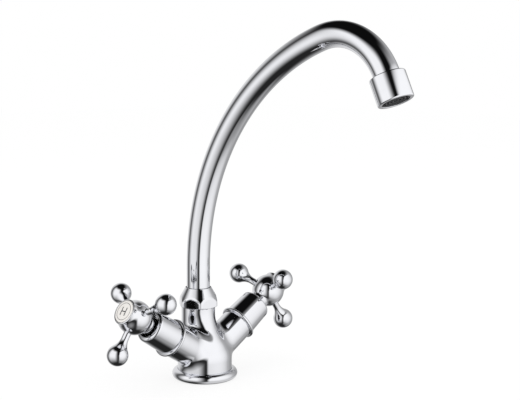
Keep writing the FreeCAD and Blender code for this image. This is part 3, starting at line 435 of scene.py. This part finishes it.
def makeFinish(name, groups):
    # colour x tints of the effects, roughness by the first effect's mask, relief one effect over another
    look = finishes[name]
    material, nodes, links = newMaterial(name)
    out, shader = nodes.new("ShaderNodeOutputMaterial"), nodes.new("ShaderNodeBsdfPrincipled")
    place = nodes.new("ShaderNodeTexCoord")
    shader.inputs["Metallic"].default_value = look["metallic"]
    shader.inputs["Coat Weight"].default_value = look.get("coat", 0.0)
    colour, normal = None, None
    for effect, values, depth in look["effects"]:
        node = nodes.new("ShaderNodeGroup")
        node.node_tree = groups[effect]
        links.new(place.outputs["Object"], node.inputs["Vector"])
        for title, value in values.items():
            node.inputs[title].default_value = value
        dim = nodes.new("ShaderNodeMix")
        dim.data_type, dim.blend_type = "RGBA", "MULTIPLY"
        dim.inputs["Factor"].default_value = 1.0
        if colour is None:
            dim.inputs[mixSockets["a"]].default_value = (*look["colour"], 1.0)
            rough = nodes.new("ShaderNodeMapRange")
            rough.inputs["To Min"].default_value, rough.inputs["To Max"].default_value = look["rough"]
            links.new(node.outputs["Mask"], rough.inputs["Value"])
            links.new(rough.outputs["Result"], shader.inputs["Roughness"])
        else:
            links.new(colour, dim.inputs[mixSockets["a"]])
        links.new(node.outputs["Tint"], dim.inputs[mixSockets["b"]])
        colour = dim.outputs[mixSockets["result"]]
        if depth:
            relief = nodes.new("ShaderNodeBump")
            relief.inputs["Distance"].default_value = depth
            links.new(node.outputs["Height"], relief.inputs["Height"])
            if normal is not None:
                links.new(normal, relief.inputs["Normal"])
            normal = relief.outputs["Normal"]
    if "ring" in look:
        colour = printRing(material, colour, look["ring"])
    links.new(colour, shader.inputs["Base Color"])
    links.new(normal, shader.inputs["Normal"])
    links.new(shader.outputs["BSDF"], out.inputs["Surface"])
    return material


def printRing(material, colour, ring):
    # thin ring of ink where the attribute reach, in mm from the disc's middle, is near the ring's radius
    tree = material.node_tree
    reach = tree.nodes.new("ShaderNodeAttribute")
    reach.attribute_name = "reach"
    off = mathNode(tree, "ABSOLUTE", mathNode(tree, "SUBTRACT", reach.outputs["Fac"], ring["reach"]))
    bare = spread(tree, off, ring["half"], ring["half"] + ring["soft"])
    ink = tree.nodes.new("ShaderNodeMix")
    ink.data_type = "RGBA"
    ink.inputs[mixSockets["a"]].default_value = ring["ink"]
    tree.links.new(bare, ink.inputs["Factor"])
    tree.links.new(colour, ink.inputs[mixSockets["b"]])
    return ink.outputs[mixSockets["result"]]


slotFinish = {"chrome": "chromePlate", "brass": "nickelBrass", "rubber": "sealRubber", "nylon": "paleNylon",
              "grey_plastic": "darkPlastic", "steel": "brightSteel", "glazed_white": "glazedWhite",
              "alumina": "sinteredWhite"}


def dressNodes(materials):
    # every carried-over CAD node gets the finish of its slot; the ferrule stays bare brass
    for entry in frame["record"]["subparts"]:
        finish = slotFinish[entry["material_slot"]]
        if entry["node"] == "spout_ferrule":
            finish = "turnedBrass"
        node = frame["nodes"][entry["node"]]
        node.data.materials.clear()
        node.data.materials.append(materials[finish])


def unit(v, least=1e-12):
    # vectors of length 1 the same way; one shorter than least stays near zero
    return v / np.maximum(np.linalg.norm(v, axis=-1, keepdims=True), least)


def along(values, wrap):
    # difference between the neighbours before and after each point of a line
    if wrap:
        return np.roll(values, -1, 0) - np.roll(values, 1, 0)
    return np.concatenate([values[1:2] - values[:1], values[2:] - values[:-2], values[-1:] - values[-2:-1]])


def smoothMin(a, b, k):
    # least of two distances, rounded where they are within k of each other
    h = np.maximum(k - np.abs(a - b), 0.0) / k
    return np.minimum(a, b) - h * h * k / 4


def smoothMax(a, b, k):
    # greatest of two, rounded in the same way
    return -smoothMin(-a, -b, k)


def arc(centre, radius, start, end, steps):
    # points on a circle from one angle to another, in degrees
    t = np.radians(np.linspace(start, end, steps))
    return np.stack([centre[0] + radius * np.cos(t), centre[1] + radius * np.sin(t)], -1)


def rounded(corners, steps=6):
    # closed outline through corners (r, h, radius), each turned into an arc that touches both its sides
    c = np.array(corners, float)
    point, radius = c[:, :2], c[:, 2]
    before, after = unit(np.roll(point, 1, 0) - point), unit(np.roll(point, -1, 0) - point)
    half = np.arccos(np.clip((before * after).sum(1), -1, 1)) / 2
    middle = unit(before + after)
    centre = point + middle * (radius / np.sin(half))[:, None]
    swing = (np.pi / 2 - half)[:, None] * np.linspace(-1, 1, steps)[None, :]
    side = np.sign(before[:, 0] * after[:, 1] - before[:, 1] * after[:, 0])[:, None]
    turn = swing * -side
    out = -middle[:, None, :]
    cos, sin = np.cos(turn)[..., None], np.sin(turn)[..., None]
    spun = out * cos + np.stack([-out[..., 1], out[..., 0]], -1) * sin
    return (centre[:, None, :] + spun * radius[:, None, None]).reshape(-1, 2)


def turned(name, profile, place, closed=True, sides=144):
    # point = start + axis h + r (x cos t + y sin t) for each (r, h) of the profile and each angle t;
    # an open profile starts and ends on the axis, where it closes in a point
    start, xWay, axis = place
    yWay = np.cross(axis, xWay)
    t = np.linspace(0, 2 * np.pi, sides, endpoint=False)[None, :, None]
    radial = xWay * np.cos(t) + yWay * np.sin(t)
    slope = along(profile, closed)
    r, h = profile[:, 0, None, None], profile[:, 1, None, None]
    points = start + axis * h + radial * r
    normals = unit(radial * slope[:, 1, None, None] - axis * slope[:, 0, None, None])
    if closed:
        quads = gridFaces(len(profile), sides, True, True)
        return meshFrom(name, points.reshape(-1, 3) * mm, quads, None, normals.reshape(-1, 3))
    inner = points[1:-1].reshape(-1, 3)
    points = np.concatenate([inner, points[:1, 0], points[-1:, 0]])
    normals = np.concatenate([normals[1:-1].reshape(-1, 3), normals[:1, 0], normals[-1:, 0]])
    quads = gridFaces(len(profile) - 2, sides, False, True)
    return meshFrom(name, points * mm, quads, poleFaces(len(inner), sides), normals)


def dress(thing, body, look, slot, *replaced):
    # one finished piece: its finish, the body it moves with and the CAD nodes it stands for
    thing.data.materials.clear()
    thing.data.materials.append(look)
    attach(thing, body)
    if replaced:
        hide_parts(*replaced)


def spotsOf(mesh):
    # the mesh's points as rows of x, y and z
    spots = np.empty(len(mesh.vertices) * 3, np.float32)
    mesh.vertices.foreach_get("co", spots)
    return spots.reshape(-1, 3)


# the casting; lengths in mm and angles in degrees, here and in every piece below
fork = {"rise": 32.0, "rootHeight": 14.9, "armRadius": 13.0, "armLength": 40.0, "tuck": 0.7,
        "columnRadius": 20.9, "floor": 3.0, "neckBack": 7.6, "neckRadius": 13.0, "neckTop": 54.3,
        "armBlend": 4.0, "crotchBlend": 5.5, "crotch": (20.0, 36.0), "footBlend": 3.0,
        "frontBlend": 18.0, "sideBlend": 13.0, "saddle": (0.0, 18.0), "shoulder": (13.0, 30.0),
        # the rays start at the heart and end at the reach; step is for the slope
        "heart": (0.0, 3.0, 17.0), "reach": 90.0, "halvings": 40, "step": 0.01, "rows": 230, "columns": 420}
deckPlace = (np.zeros(3), east, up)
neckPlace = (np.array([0.0, fork["neckBack"], 0.0]), east, up)


def valvePlace(side, distance=0.0, turn=0.0):
    # frame on an arm's axis, that far from the root: origin, x down across the axis, axis outwards
    sign = -1.0 if side == "hot" else 1.0
    rise, turn = np.radians([fork["rise"], turn])
    axis = np.array([sign * np.cos(rise), 0.0, np.sin(rise)])
    xWay = np.array([sign * np.sin(rise), 0.0, -np.cos(rise)])
    xWay = xWay * np.cos(turn) + np.cross(axis, xWay) * np.sin(turn)
    return np.array([0.0, 0.0, fork["rootHeight"]]) + axis * distance, xWay, axis


def castingField(p):
    # distance to the column with its round top, smoothly joined to the neck and then to both arms;
    # the joints are tight low down and wider higher up, and the neck's is widest in front and behind
    x, y, z = p[..., 0], p[..., 1], p[..., 2]
    column = np.sqrt(x * x + y * y + np.maximum(z - fork["rootHeight"], 0.0) ** 2) - fork["columnRadius"]
    low = np.minimum(z - fork["rootHeight"], 0.0)
    neck = np.sqrt(x * x + (y - fork["neckBack"]) ** 2 + low * low) - fork["neckRadius"]
    blend = fork["frontBlend"] + (fork["sideBlend"] - fork["frontBlend"]) * ramp(np.abs(x), *fork["saddle"])
    blend = fork["footBlend"] + (blend - fork["footBlend"]) * ramp(z, *fork["shoulder"])
    field = smoothMin(column, neck, blend)
    blend = fork["armBlend"] + (fork["crotchBlend"] - fork["armBlend"]) * ramp(z, *fork["crotch"])
    for side in ("hot", "cold"):
        root, _, axis = valvePlace(side)
        s = (p - root) @ axis  # how far along the arm
        off = np.linalg.norm(p - root - np.maximum(s, 0.0)[..., None] * axis, axis=-1)
        field = smoothMin(field, off - fork["armRadius"], blend)
    return field


def castingCut(p):
    # flat ends: underside of the column, top of the neck and both arm ends, tucked into what covers them
    cut = np.maximum(fork["floor"] - p[..., 2], p[..., 2] - fork["neckTop"] - fork["tuck"])
    for side in ("hot", "cold"):
        root, _, axis = valvePlace(side)
        cut = np.maximum(cut, (p - root) @ axis - fork["armLength"] - fork["tuck"])
    return cut


def makeCasting(look):
    # point = heart + way(rise, turn) x distance, where the field and the cuts come to 0, found by halving
    heart = np.array(fork["heart"])
    rise = np.linspace(-np.pi / 2, np.pi / 2, fork["rows"])[:, None, None]
    turn = np.linspace(0, 2 * np.pi, fork["columns"], endpoint=False)[None, :, None]
    way = np.concatenate([np.cos(rise) * np.cos(turn), np.cos(rise) * np.sin(turn),
                          np.sin(rise) + 0 * turn], -1)
    near, far = np.zeros(way.shape[:2]), np.full(way.shape[:2], fork["reach"])
    for _ in range(fork["halvings"]):
        middle = (near + far) / 2
        p = heart + way * middle[..., None]
        inside = np.maximum(castingField(p), castingCut(p)) < 0
        near, far = np.where(inside, middle, near), np.where(inside, far, middle)
    p = heart + way * near[..., None]
    steps = np.eye(3) * fork["step"]
    slope = np.stack([castingField(p + d) - castingField(p - d) for d in steps], -1)
    flat = np.stack([castingCut(p + d) - castingCut(p - d) for d in steps], -1)
    normals = unit(np.where((castingCut(p) > castingField(p))[..., None], flat, slope))
    inner = p[1:-1].reshape(-1, 3)
    points = np.concatenate([inner, p[:1, 0], p[-1:, 0]])
    normals = np.concatenate([normals[1:-1].reshape(-1, 3), -up[None], up[None]])
    quads = gridFaces(fork["rows"] - 2, fork["columns"], False, True)
    thing = meshFrom("casting", points * mm, quads, poleFaces(len(inner), fork["columns"]), normals)
    dress(thing, "base", look, "chrome", "mixer_body")


ring = {"rim": 25.2, "height": 7.2, "widest": 3.4, "seat": 21.0, "hole": 17.0, "floor": 3.0,
        "gasketInner": 18.1, "gasketOuter": 20.7, "gasketDeep": 1.4, "edge": 0.25,
        "lowSteps": 14, "highSteps": 18, "edgeSteps": 5, "sides": 192}


def makeBaseRing(look):
    # half-round outside from two arcs, stepped inside for the column's foot and the gasket
    upper, edge = ring["height"] - ring["widest"], ring["edge"]
    low = arc((ring["rim"] - ring["widest"], ring["widest"]), ring["widest"], -90, 0, ring["lowSteps"])
    high = arc((ring["rim"] - upper, ring["widest"]), upper, 0, 90, ring["highSteps"])
    lip = arc((ring["seat"] + edge, ring["height"] - edge), edge, 90, 180, ring["edgeSteps"])
    inside = [(ring["seat"], ring["floor"]), (ring["hole"], ring["floor"]), (ring["hole"], 0),
              (ring["gasketInner"], 0), (ring["gasketInner"], ring["gasketDeep"]),
              (ring["gasketOuter"], ring["gasketDeep"]), (ring["gasketOuter"], 0)]
    profile = np.concatenate([low, high[1:], lip, np.array(inside)])
    dress(turned("baseRing", profile, deckPlace, sides=ring["sides"]), "base", look, "chrome", "base_ring")


nut = {"bottom": 54.35, "height": 15.3, "flats": 27.8, "corner": 15.8, "top": 10.3, "cone": 6.7, "drop": 3.3,
       "foot": 1.2, "footSlope": 2.0, "footInner": 12.8, "footEdge": 0.05, "bore": 9.6, "boreEdge": 0.2,
       "chamber": 10.3, "thread": 11.05, "land": 67.05, "spigot": 63.1, "turn": -4.0, "soft": 0.7,
       "edge": 0.35, "edgeFrom": 20.0, "edgeSteps": 6, "rows": 110, "sides": 360}


def makeSpoutNut(look):
    # radius at (angle, height) = least of the hexagon's and of the turned outline's, with soft edges
    top = nut["bottom"] + nut["height"]
    t = np.linspace(0, 2 * np.pi, nut["sides"], endpoint=False)[None, :]
    z = np.linspace(nut["bottom"] + nut["footEdge"], top - nut["edge"], nut["rows"])[:, None]
    facing = (t - np.radians(nut["turn"])) % (np.pi / 3) - np.pi / 6
    hexagon = nut["flats"] / 2 / np.cos(facing)
    cone = nut["top"] + (top - z) * (nut["flats"] / 2 - nut["top"]) / nut["cone"]
    chamfer = nut["flats"] / 2 + (top - nut["cone"] - z) * (nut["corner"] - nut["flats"] / 2) / nut["drop"]
    foot = nut["corner"] + nut["footSlope"] * (z - nut["bottom"] - nut["foot"])
    outline = smoothMin(smoothMin(cone, chamfer, nut["soft"]), np.minimum(foot, nut["corner"]), nut["soft"])
    outer = smoothMin(hexagon, outline, nut["soft"])
    rim = nut["edge"]
    lip = arc((outer[-1, 0] - rim, top - rim), rim, nut["edgeFrom"], 90, nut["edgeSteps"])
    lip = np.repeat(lip[:, None, :], nut["sides"], 1)
    inside = np.array([(nut["bore"] + nut["boreEdge"], top), (nut["bore"], top - nut["boreEdge"]),
                       (nut["bore"], nut["land"]), (nut["chamber"], nut["land"]),
                       (nut["chamber"], nut["spigot"]), (nut["thread"], nut["spigot"]),
                       (nut["thread"], nut["bottom"]), (nut["footInner"], nut["bottom"])])
    inside = np.repeat(inside[:, None, :], nut["sides"], 1)
    wall = np.stack([outer, z + 0 * t], -1)
    section = np.concatenate([wall, lip, inside])
    radial = np.stack([np.cos(t), np.sin(t), 0 * t], -1)
    points = neckPlace[0] + radial * section[..., :1] + up * section[..., 1:]
    lengthways = along(points, True)
    across = np.roll(points, -1, 1) - np.roll(points, 1, 1)
    normals = unit(np.cross(across, lengthways))
    quads = gridFaces(len(section), nut["sides"], True, True)
    thing = meshFrom("spoutNut", points.reshape(-1, 3) * mm, quads, None, normals.reshape(-1, 3))
    dress(thing, "base", look, "chrome", "spout_nut")


spout = {"radius": 9.0, "wall": 1.0, "start": 65.85, "riser": 86.0, "sweep": 184.0, "sweepAngle": 71.3,
         "crook": 46.7, "crookAngle": 83.1, "tip": 7.0, "ease": 6.0, "tipRest": 0.5,
         "rows": 400, "fineRows": 8000, "sides": 100}


def spoutPath():
    # place (out, up) and heading of the tube's axis along its length, then the same at its end;
    # heading = running sum of the curvature, which is eased at each change of bend
    sweep, crook = np.radians([spout["sweepAngle"], spout["crookAngle"]])
    riser = spout["riser"] - spout["start"]
    ends = np.cumsum([riser, spout["sweep"] * sweep, spout["crook"] * crook, spout["tip"]])
    s = np.linspace(0, ends[-1], spout["rows"])
    fine = np.linspace(0, ends[-1], spout["fineRows"])
    bends = np.array([0, 1 / spout["sweep"], 1 / spout["crook"], 0])
    ease = np.array([spout["ease"], spout["ease"], spout["tip"] - spout["tipRest"]])
    bend = sum((b - a) * ramp(fine, e - w, e + w) for a, b, e, w in zip(bends, bends[1:], ends, ease))
    step = fine[1] - fine[0]
    heading = np.cumsum(bend) * step
    out, rise = np.cumsum(np.sin(heading)) * step, spout["start"] + np.cumsum(np.cos(heading)) * step
    total = sweep + crook
    endOut = spout["sweep"] * (1 - np.cos(sweep)) + spout["crook"] * (np.cos(sweep) - np.cos(total))
    endUp = spout["riser"] + spout["sweep"] * np.sin(sweep) + spout["crook"] * (np.sin(total) - np.sin(sweep))
    endOut, endUp = endOut + spout["tip"] * np.sin(total), endUp + spout["tip"] * np.cos(total)
    share = ramp(fine, 0, ends[-1])
    out, rise = out + (endOut - out[-1]) * share, rise + (endUp - rise[-1]) * share
    return np.stack([np.interp(s, fine, value) for value in (out, rise, heading)], -1), (endOut, endUp, total)


def makeSpoutTube(look):
    # circle of the tube's radius carried along the path, outside and then back along the bore
    path, _ = spoutPath()
    t = np.linspace(0, 2 * np.pi, spout["sides"], endpoint=False)[None, :, None]
    out, rise, heading = path[:, 0, None, None], path[:, 1, None, None], path[:, 2, None, None]
    centre = neckPlace[0] + south * out + up * rise
    ahead = south * np.cos(heading) - up * np.sin(heading)
    radial = ahead * np.cos(t) + east * np.sin(t)
    outer, inner = centre + radial * spout["radius"], centre + radial * (spout["radius"] - spout["wall"])
    points = np.concatenate([outer, inner[::-1]])
    normals = np.concatenate([radial, -radial[::-1]])
    quads = gridFaces(len(points), spout["sides"], True, True)
    thing = meshFrom("spoutTube", points.reshape(-1, 3) * mm, quads, None, normals.reshape(-1, 3))
    dress(thing, "spout", look, "chrome", "spout_tube")


aerator = {"outer": 12.3, "length": 18.4, "edge": 0.8, "thread": 10.95, "chamber": 10.5, "opening": 9.6,
           "lip": 1.5, "insert": 8.5, "threadEdge": 0.15, "mouthEdge": 0.3, "innerEdge": 0.05}


def outletPlace():
    # frame at the tube's end: origin where the shell starts, axis the way that the water leaves
    _, (endOut, endUp, total) = spoutPath()
    axis = south * np.sin(total) + up * np.cos(total)
    start = neckPlace[0] + south * endOut + up * endUp - axis * spout["tip"]
    return start, east, axis


def makeAeratorShell(look):
    # plain drum with rounded ends, threaded over the tip, with an inward lip round its mouth
    edge, inner, length = aerator["edge"], aerator["innerEdge"], aerator["length"]
    mouth = length - aerator["lip"]
    profile = rounded([
        (aerator["thread"], 0, aerator["threadEdge"]), (aerator["outer"], 0, edge),
        (aerator["outer"], length, edge), (aerator["opening"], length, aerator["mouthEdge"]),
        (aerator["opening"], mouth, inner), (aerator["chamber"], mouth, inner),
        (aerator["chamber"], aerator["insert"], inner), (aerator["thread"], aerator["insert"], inner)])
    dress(turned("aeratorShell", profile, outletPlace()), "spout", look, "chrome", "aerator_shell")


sleeve = {"start": 40.0, "length": 25.8, "foot": 13.2, "end": 12.2, "bead": 15.0, "beadHalf": 1.4,
          "beadEnd": 62.0, "bore": 11.3, "recess": 9.2, "recessDeep": 8.2, "web": 3.0, "webHole": 7.1,
          "edge": 2.6, "valley": 0.25, "rimEdge": 0.25, "recessEdge": 0.2, "innerEdge": 0.05,
          "beadSteps": 22, "edgeSteps": 12}


def makeSleeve(side, look):
    # tapered tube with a round bead at its foot and a well rounded open end
    half, length, inner = sleeve["beadHalf"], sleeve["length"], sleeve["innerEdge"]
    deep, steps = length - sleeve["recessDeep"], sleeve["edgeSteps"]
    web = deep - sleeve["web"]
    bead = arc((sleeve["bead"] - half, half), half, -90, sleeve["beadEnd"], sleeve["beadSteps"])
    rest = rounded([
        (sleeve["bore"], 0, inner), (sleeve["foot"], 2 * half, sleeve["valley"]),
        (sleeve["end"], length, sleeve["edge"]), (sleeve["recess"], length, sleeve["rimEdge"]),
        (sleeve["recess"], deep, sleeve["recessEdge"]), (sleeve["webHole"], deep, inner),
        (sleeve["webHole"], web, inner), (sleeve["bore"], web, inner)], steps)
    profile = np.concatenate([rest[:steps], bead, rest[steps:]])
    place = valvePlace(side, sleeve["start"])
    dress(turned(f"{side}Sleeve", profile, place), "base", look, "chrome", f"{side}_sleeve")


handle = {"hubAt": 81.1, "turn": {"hot": 0.0, "cold": -3.4}, "hub": 12.85, "neck": 7.3, "neckReach": 19.1,
          "front": 9.8, "frontReach": 11.5, "frontEdge": 0.8, "valley": 1.6, "seat": 8.9, "discBore": 8.65,
          "well": 4.2, "floorTop": -1.2, "floorBottom": -4.4, "screwHole": 2.1, "spline": 3.75,
          "backEdge": 0.4, "lipEdge": 0.15, "rows": 150, "backSteps": 5, "frontSteps": 8, "lipSteps": 4,
          "sides": 160}


def handlePlace(side):
    # frame at the middle of a hub, turned as the handle stands at rest
    return valvePlace(side, handle["hubAt"], handle["turn"][side])


def makeHub(side, look):
    # one outline: r at h = smooth greatest of the ball's radius and the neck's or the front collar's;
    # hollow inside for the spindle, screw and disc
    reach, edge, rear = handle["frontReach"], handle["frontEdge"], handle["backEdge"]
    h = np.linspace(rear - handle["neckReach"], reach - edge, handle["rows"])
    ball = np.sqrt(np.maximum(handle["hub"] ** 2 - h * h, 0.0))
    r = smoothMax(ball, np.where(h < 0, handle["neck"], handle["front"]), handle["valley"])
    back = arc((handle["neck"] - rear, rear - handle["neckReach"]), rear, -90, 0, handle["backSteps"])
    front = arc((handle["front"] - edge, reach - edge), edge, 0, 90, handle["frontSteps"])
    rim = handle["lipEdge"]
    lip = arc((handle["discBore"] + rim, reach - rim), rim, 90, 180, handle["lipSteps"])
    inside = [(handle["discBore"], handle["seat"]), (handle["well"], handle["seat"]),
              (handle["well"], handle["floorTop"]), (handle["screwHole"], handle["floorTop"]),
              (handle["screwHole"], handle["floorBottom"]), (handle["spline"], handle["floorBottom"]),
              (handle["spline"], -handle["neckReach"])]
    profile = np.concatenate([back[:-1], np.stack([r, h], -1), front[1:], lip, np.array(inside)])
    thing = turned(f"{side}Hub", profile, handlePlace(side), sides=handle["sides"])
    dress(thing, f"{side}_handle", look, "chrome", f"{side}_hub")


spoke = {"reach": 29.9, "ball": 7.9, "stem": 2.75, "flare": 12.0, "stud": 2.4, "studStart": 6.6, "seat": 11.6,
         "lead": 0.5, "count": 3, "flareSteps": 30, "ballSteps": 60, "sides": 96}


def makeSpokes(side, look):
    # stud, slim stem, hollow flare and ball as one outline turned about the spoke's own axis
    ball, stem, flare, reach = spoke["ball"], spoke["stem"], spoke["flare"], spoke["reach"]
    run = np.sqrt((ball + flare) ** 2 - (stem + flare) ** 2)
    meet = np.degrees(np.arctan2(stem + flare, run))
    root = [(0, spoke["studStart"]), (spoke["stud"], spoke["studStart"]), (spoke["stud"], spoke["seat"]),
            (stem, spoke["seat"]), (stem, reach - run - spoke["lead"])]
    hollow = arc((stem + flare, reach - run), flare, 180, 90 + meet, spoke["flareSteps"])
    globe = arc((0, reach), ball, meet - 90, 90, spoke["ballSteps"])
    profile = np.concatenate([np.array(root), hollow, globe[1:-1], [(0, reach + ball)]])
    centre, xWay, axis = handlePlace(side)
    for number in range(spoke["count"]):
        t = 2 * np.pi * number / spoke["count"]
        out = xWay * np.cos(t) + np.cross(axis, xWay) * np.sin(t)
        place = (centre, axis, out)
        thing = turned(f"{side}Spoke{number + 1}", profile, place, closed=False, sides=spoke["sides"])
        dress(thing, f"{side}_handle", look, "chrome", f"{side}_spoke_{number + 1}")


disc = {"radius": 8.55, "seat": 8.9, "top": 11.8, "edge": 0.5, "edgeEnd": 78.0, "crown": 0.25,
        "edgeSteps": 7, "crownSteps": 40, "sides": 128}


def makeIndexDisc(side, look):
    # glazed button with a rounded edge and a low crown: height = top - rise (r / rim)^2;
    # reach = distance of each point from the button's axis, for the printed ring
    low, edge = disc["top"] - disc["crown"], disc["edge"]
    rim = arc((disc["radius"] - edge, low - edge), edge, 0, disc["edgeEnd"], disc["edgeSteps"])
    rimReach, rimTop = rim[-1]
    r = np.linspace(rimReach, 0, disc["crownSteps"])
    crown = np.stack([r, rimTop + (disc["top"] - rimTop) * (1 - (r / rimReach) ** 2)], -1)
    profile = np.concatenate([[(0, disc["seat"]), (disc["radius"], disc["seat"])], rim, crown[1:]])
    centre, xWay, axis = handlePlace(side)
    thing = turned(f"{side}IndexDisc", profile, (centre, xWay, axis), closed=False, sides=disc["sides"])
    off = spotsOf(thing.data) / mm - centre
    reach = np.linalg.norm(off - (off @ axis)[:, None] * axis, axis=1)
    value = thing.data.attributes.new("reach", "FLOAT", "POINT")
    value.data.foreach_set("value", reach.astype(np.float32))
    dress(thing, f"{side}_handle", look, "glazed_white", f"{side}_index_disc")


# capital is a letter's height as a share of the font's size; of the extruded depth only the sign is used
mark = {"letter": {"hot": "H", "cold": "C"}, "height": 6.4, "capital": 0.7, "extrude": 1.0, "curveSteps": 6,
        "thick": 0.12, "proud": 0.04}


def makeIndexMark(side, look):
    # plain letter laid on the crown: height over the disc = proud at its face, thick below that at its back
    curve = bpy.data.curves.new(f"{side}Letter", "FONT")
    curve.body = mark["letter"][side]
    curve.align_x, curve.align_y = "CENTER", "CENTER"
    curve.size = mark["height"] / mark["capital"]
    curve.extrude = mark["extrude"]
    curve.resolution_u = mark["curveSteps"]
    holder = bpy.data.objects.new(f"{side}Letter", curve)
    scene.collection.objects.link(holder)
    bpy.context.view_layer.update()
    mesh = bpy.data.meshes.new_from_object(holder.evaluated_get(bpy.context.evaluated_depsgraph_get()))
    bpy.data.objects.remove(holder)
    u, v, w = spotsOf(mesh).astype(float).T
    v = v - (v.max() + v.min()) / 2
    u = u - (u.max() + u.min()) / 2
    crown = disc["top"] - disc["crown"] * (u * u + v * v) / (disc["radius"] - disc["edge"]) ** 2
    h = crown + np.where(w > 0, mark["proud"], mark["proud"] - mark["thick"])
    centre, xWay, axis = handlePlace(side)
    right = np.cross(-xWay, axis)
    points = centre + right * u[:, None] - xWay * v[:, None] + axis * h[:, None]
    mesh.vertices.foreach_set("co", (points * mm).astype(np.float32).ravel())
    mesh.update()
    thing = bpy.data.objects.new(f"{side}IndexMark", mesh)
    scene.collection.objects.link(thing)
    dress(thing, f"{side}_handle", look, "glazed_white")


makeCamera()
makeTent()
makeCard()
makeApron()
makeFloor()
makeLights()
scene.view_settings.view_transform = "Standard"
print("studio ready")

groups = {group.name: group for group in (makeGrain(), makeRipple(), makeLatheLines(), makeSpecks())}
materials = {name: makeFinish(name, groups) for name in finishes}
dressNodes(materials)
chrome = materials["chromePlate"]
print("finishes ready")

makeCasting(chrome)
makeBaseRing(chrome)
makeSpoutNut(chrome)
makeSpoutTube(chrome)
makeAeratorShell(chrome)
for side in ("hot", "cold"):
    makeSleeve(side, chrome)
    makeHub(side, chrome)
    makeSpokes(side, chrome)
    makeIndexDisc(side, materials["glazedWhite"])
    makeIndexMark(side, materials["printInk"])
print("pieces ready")
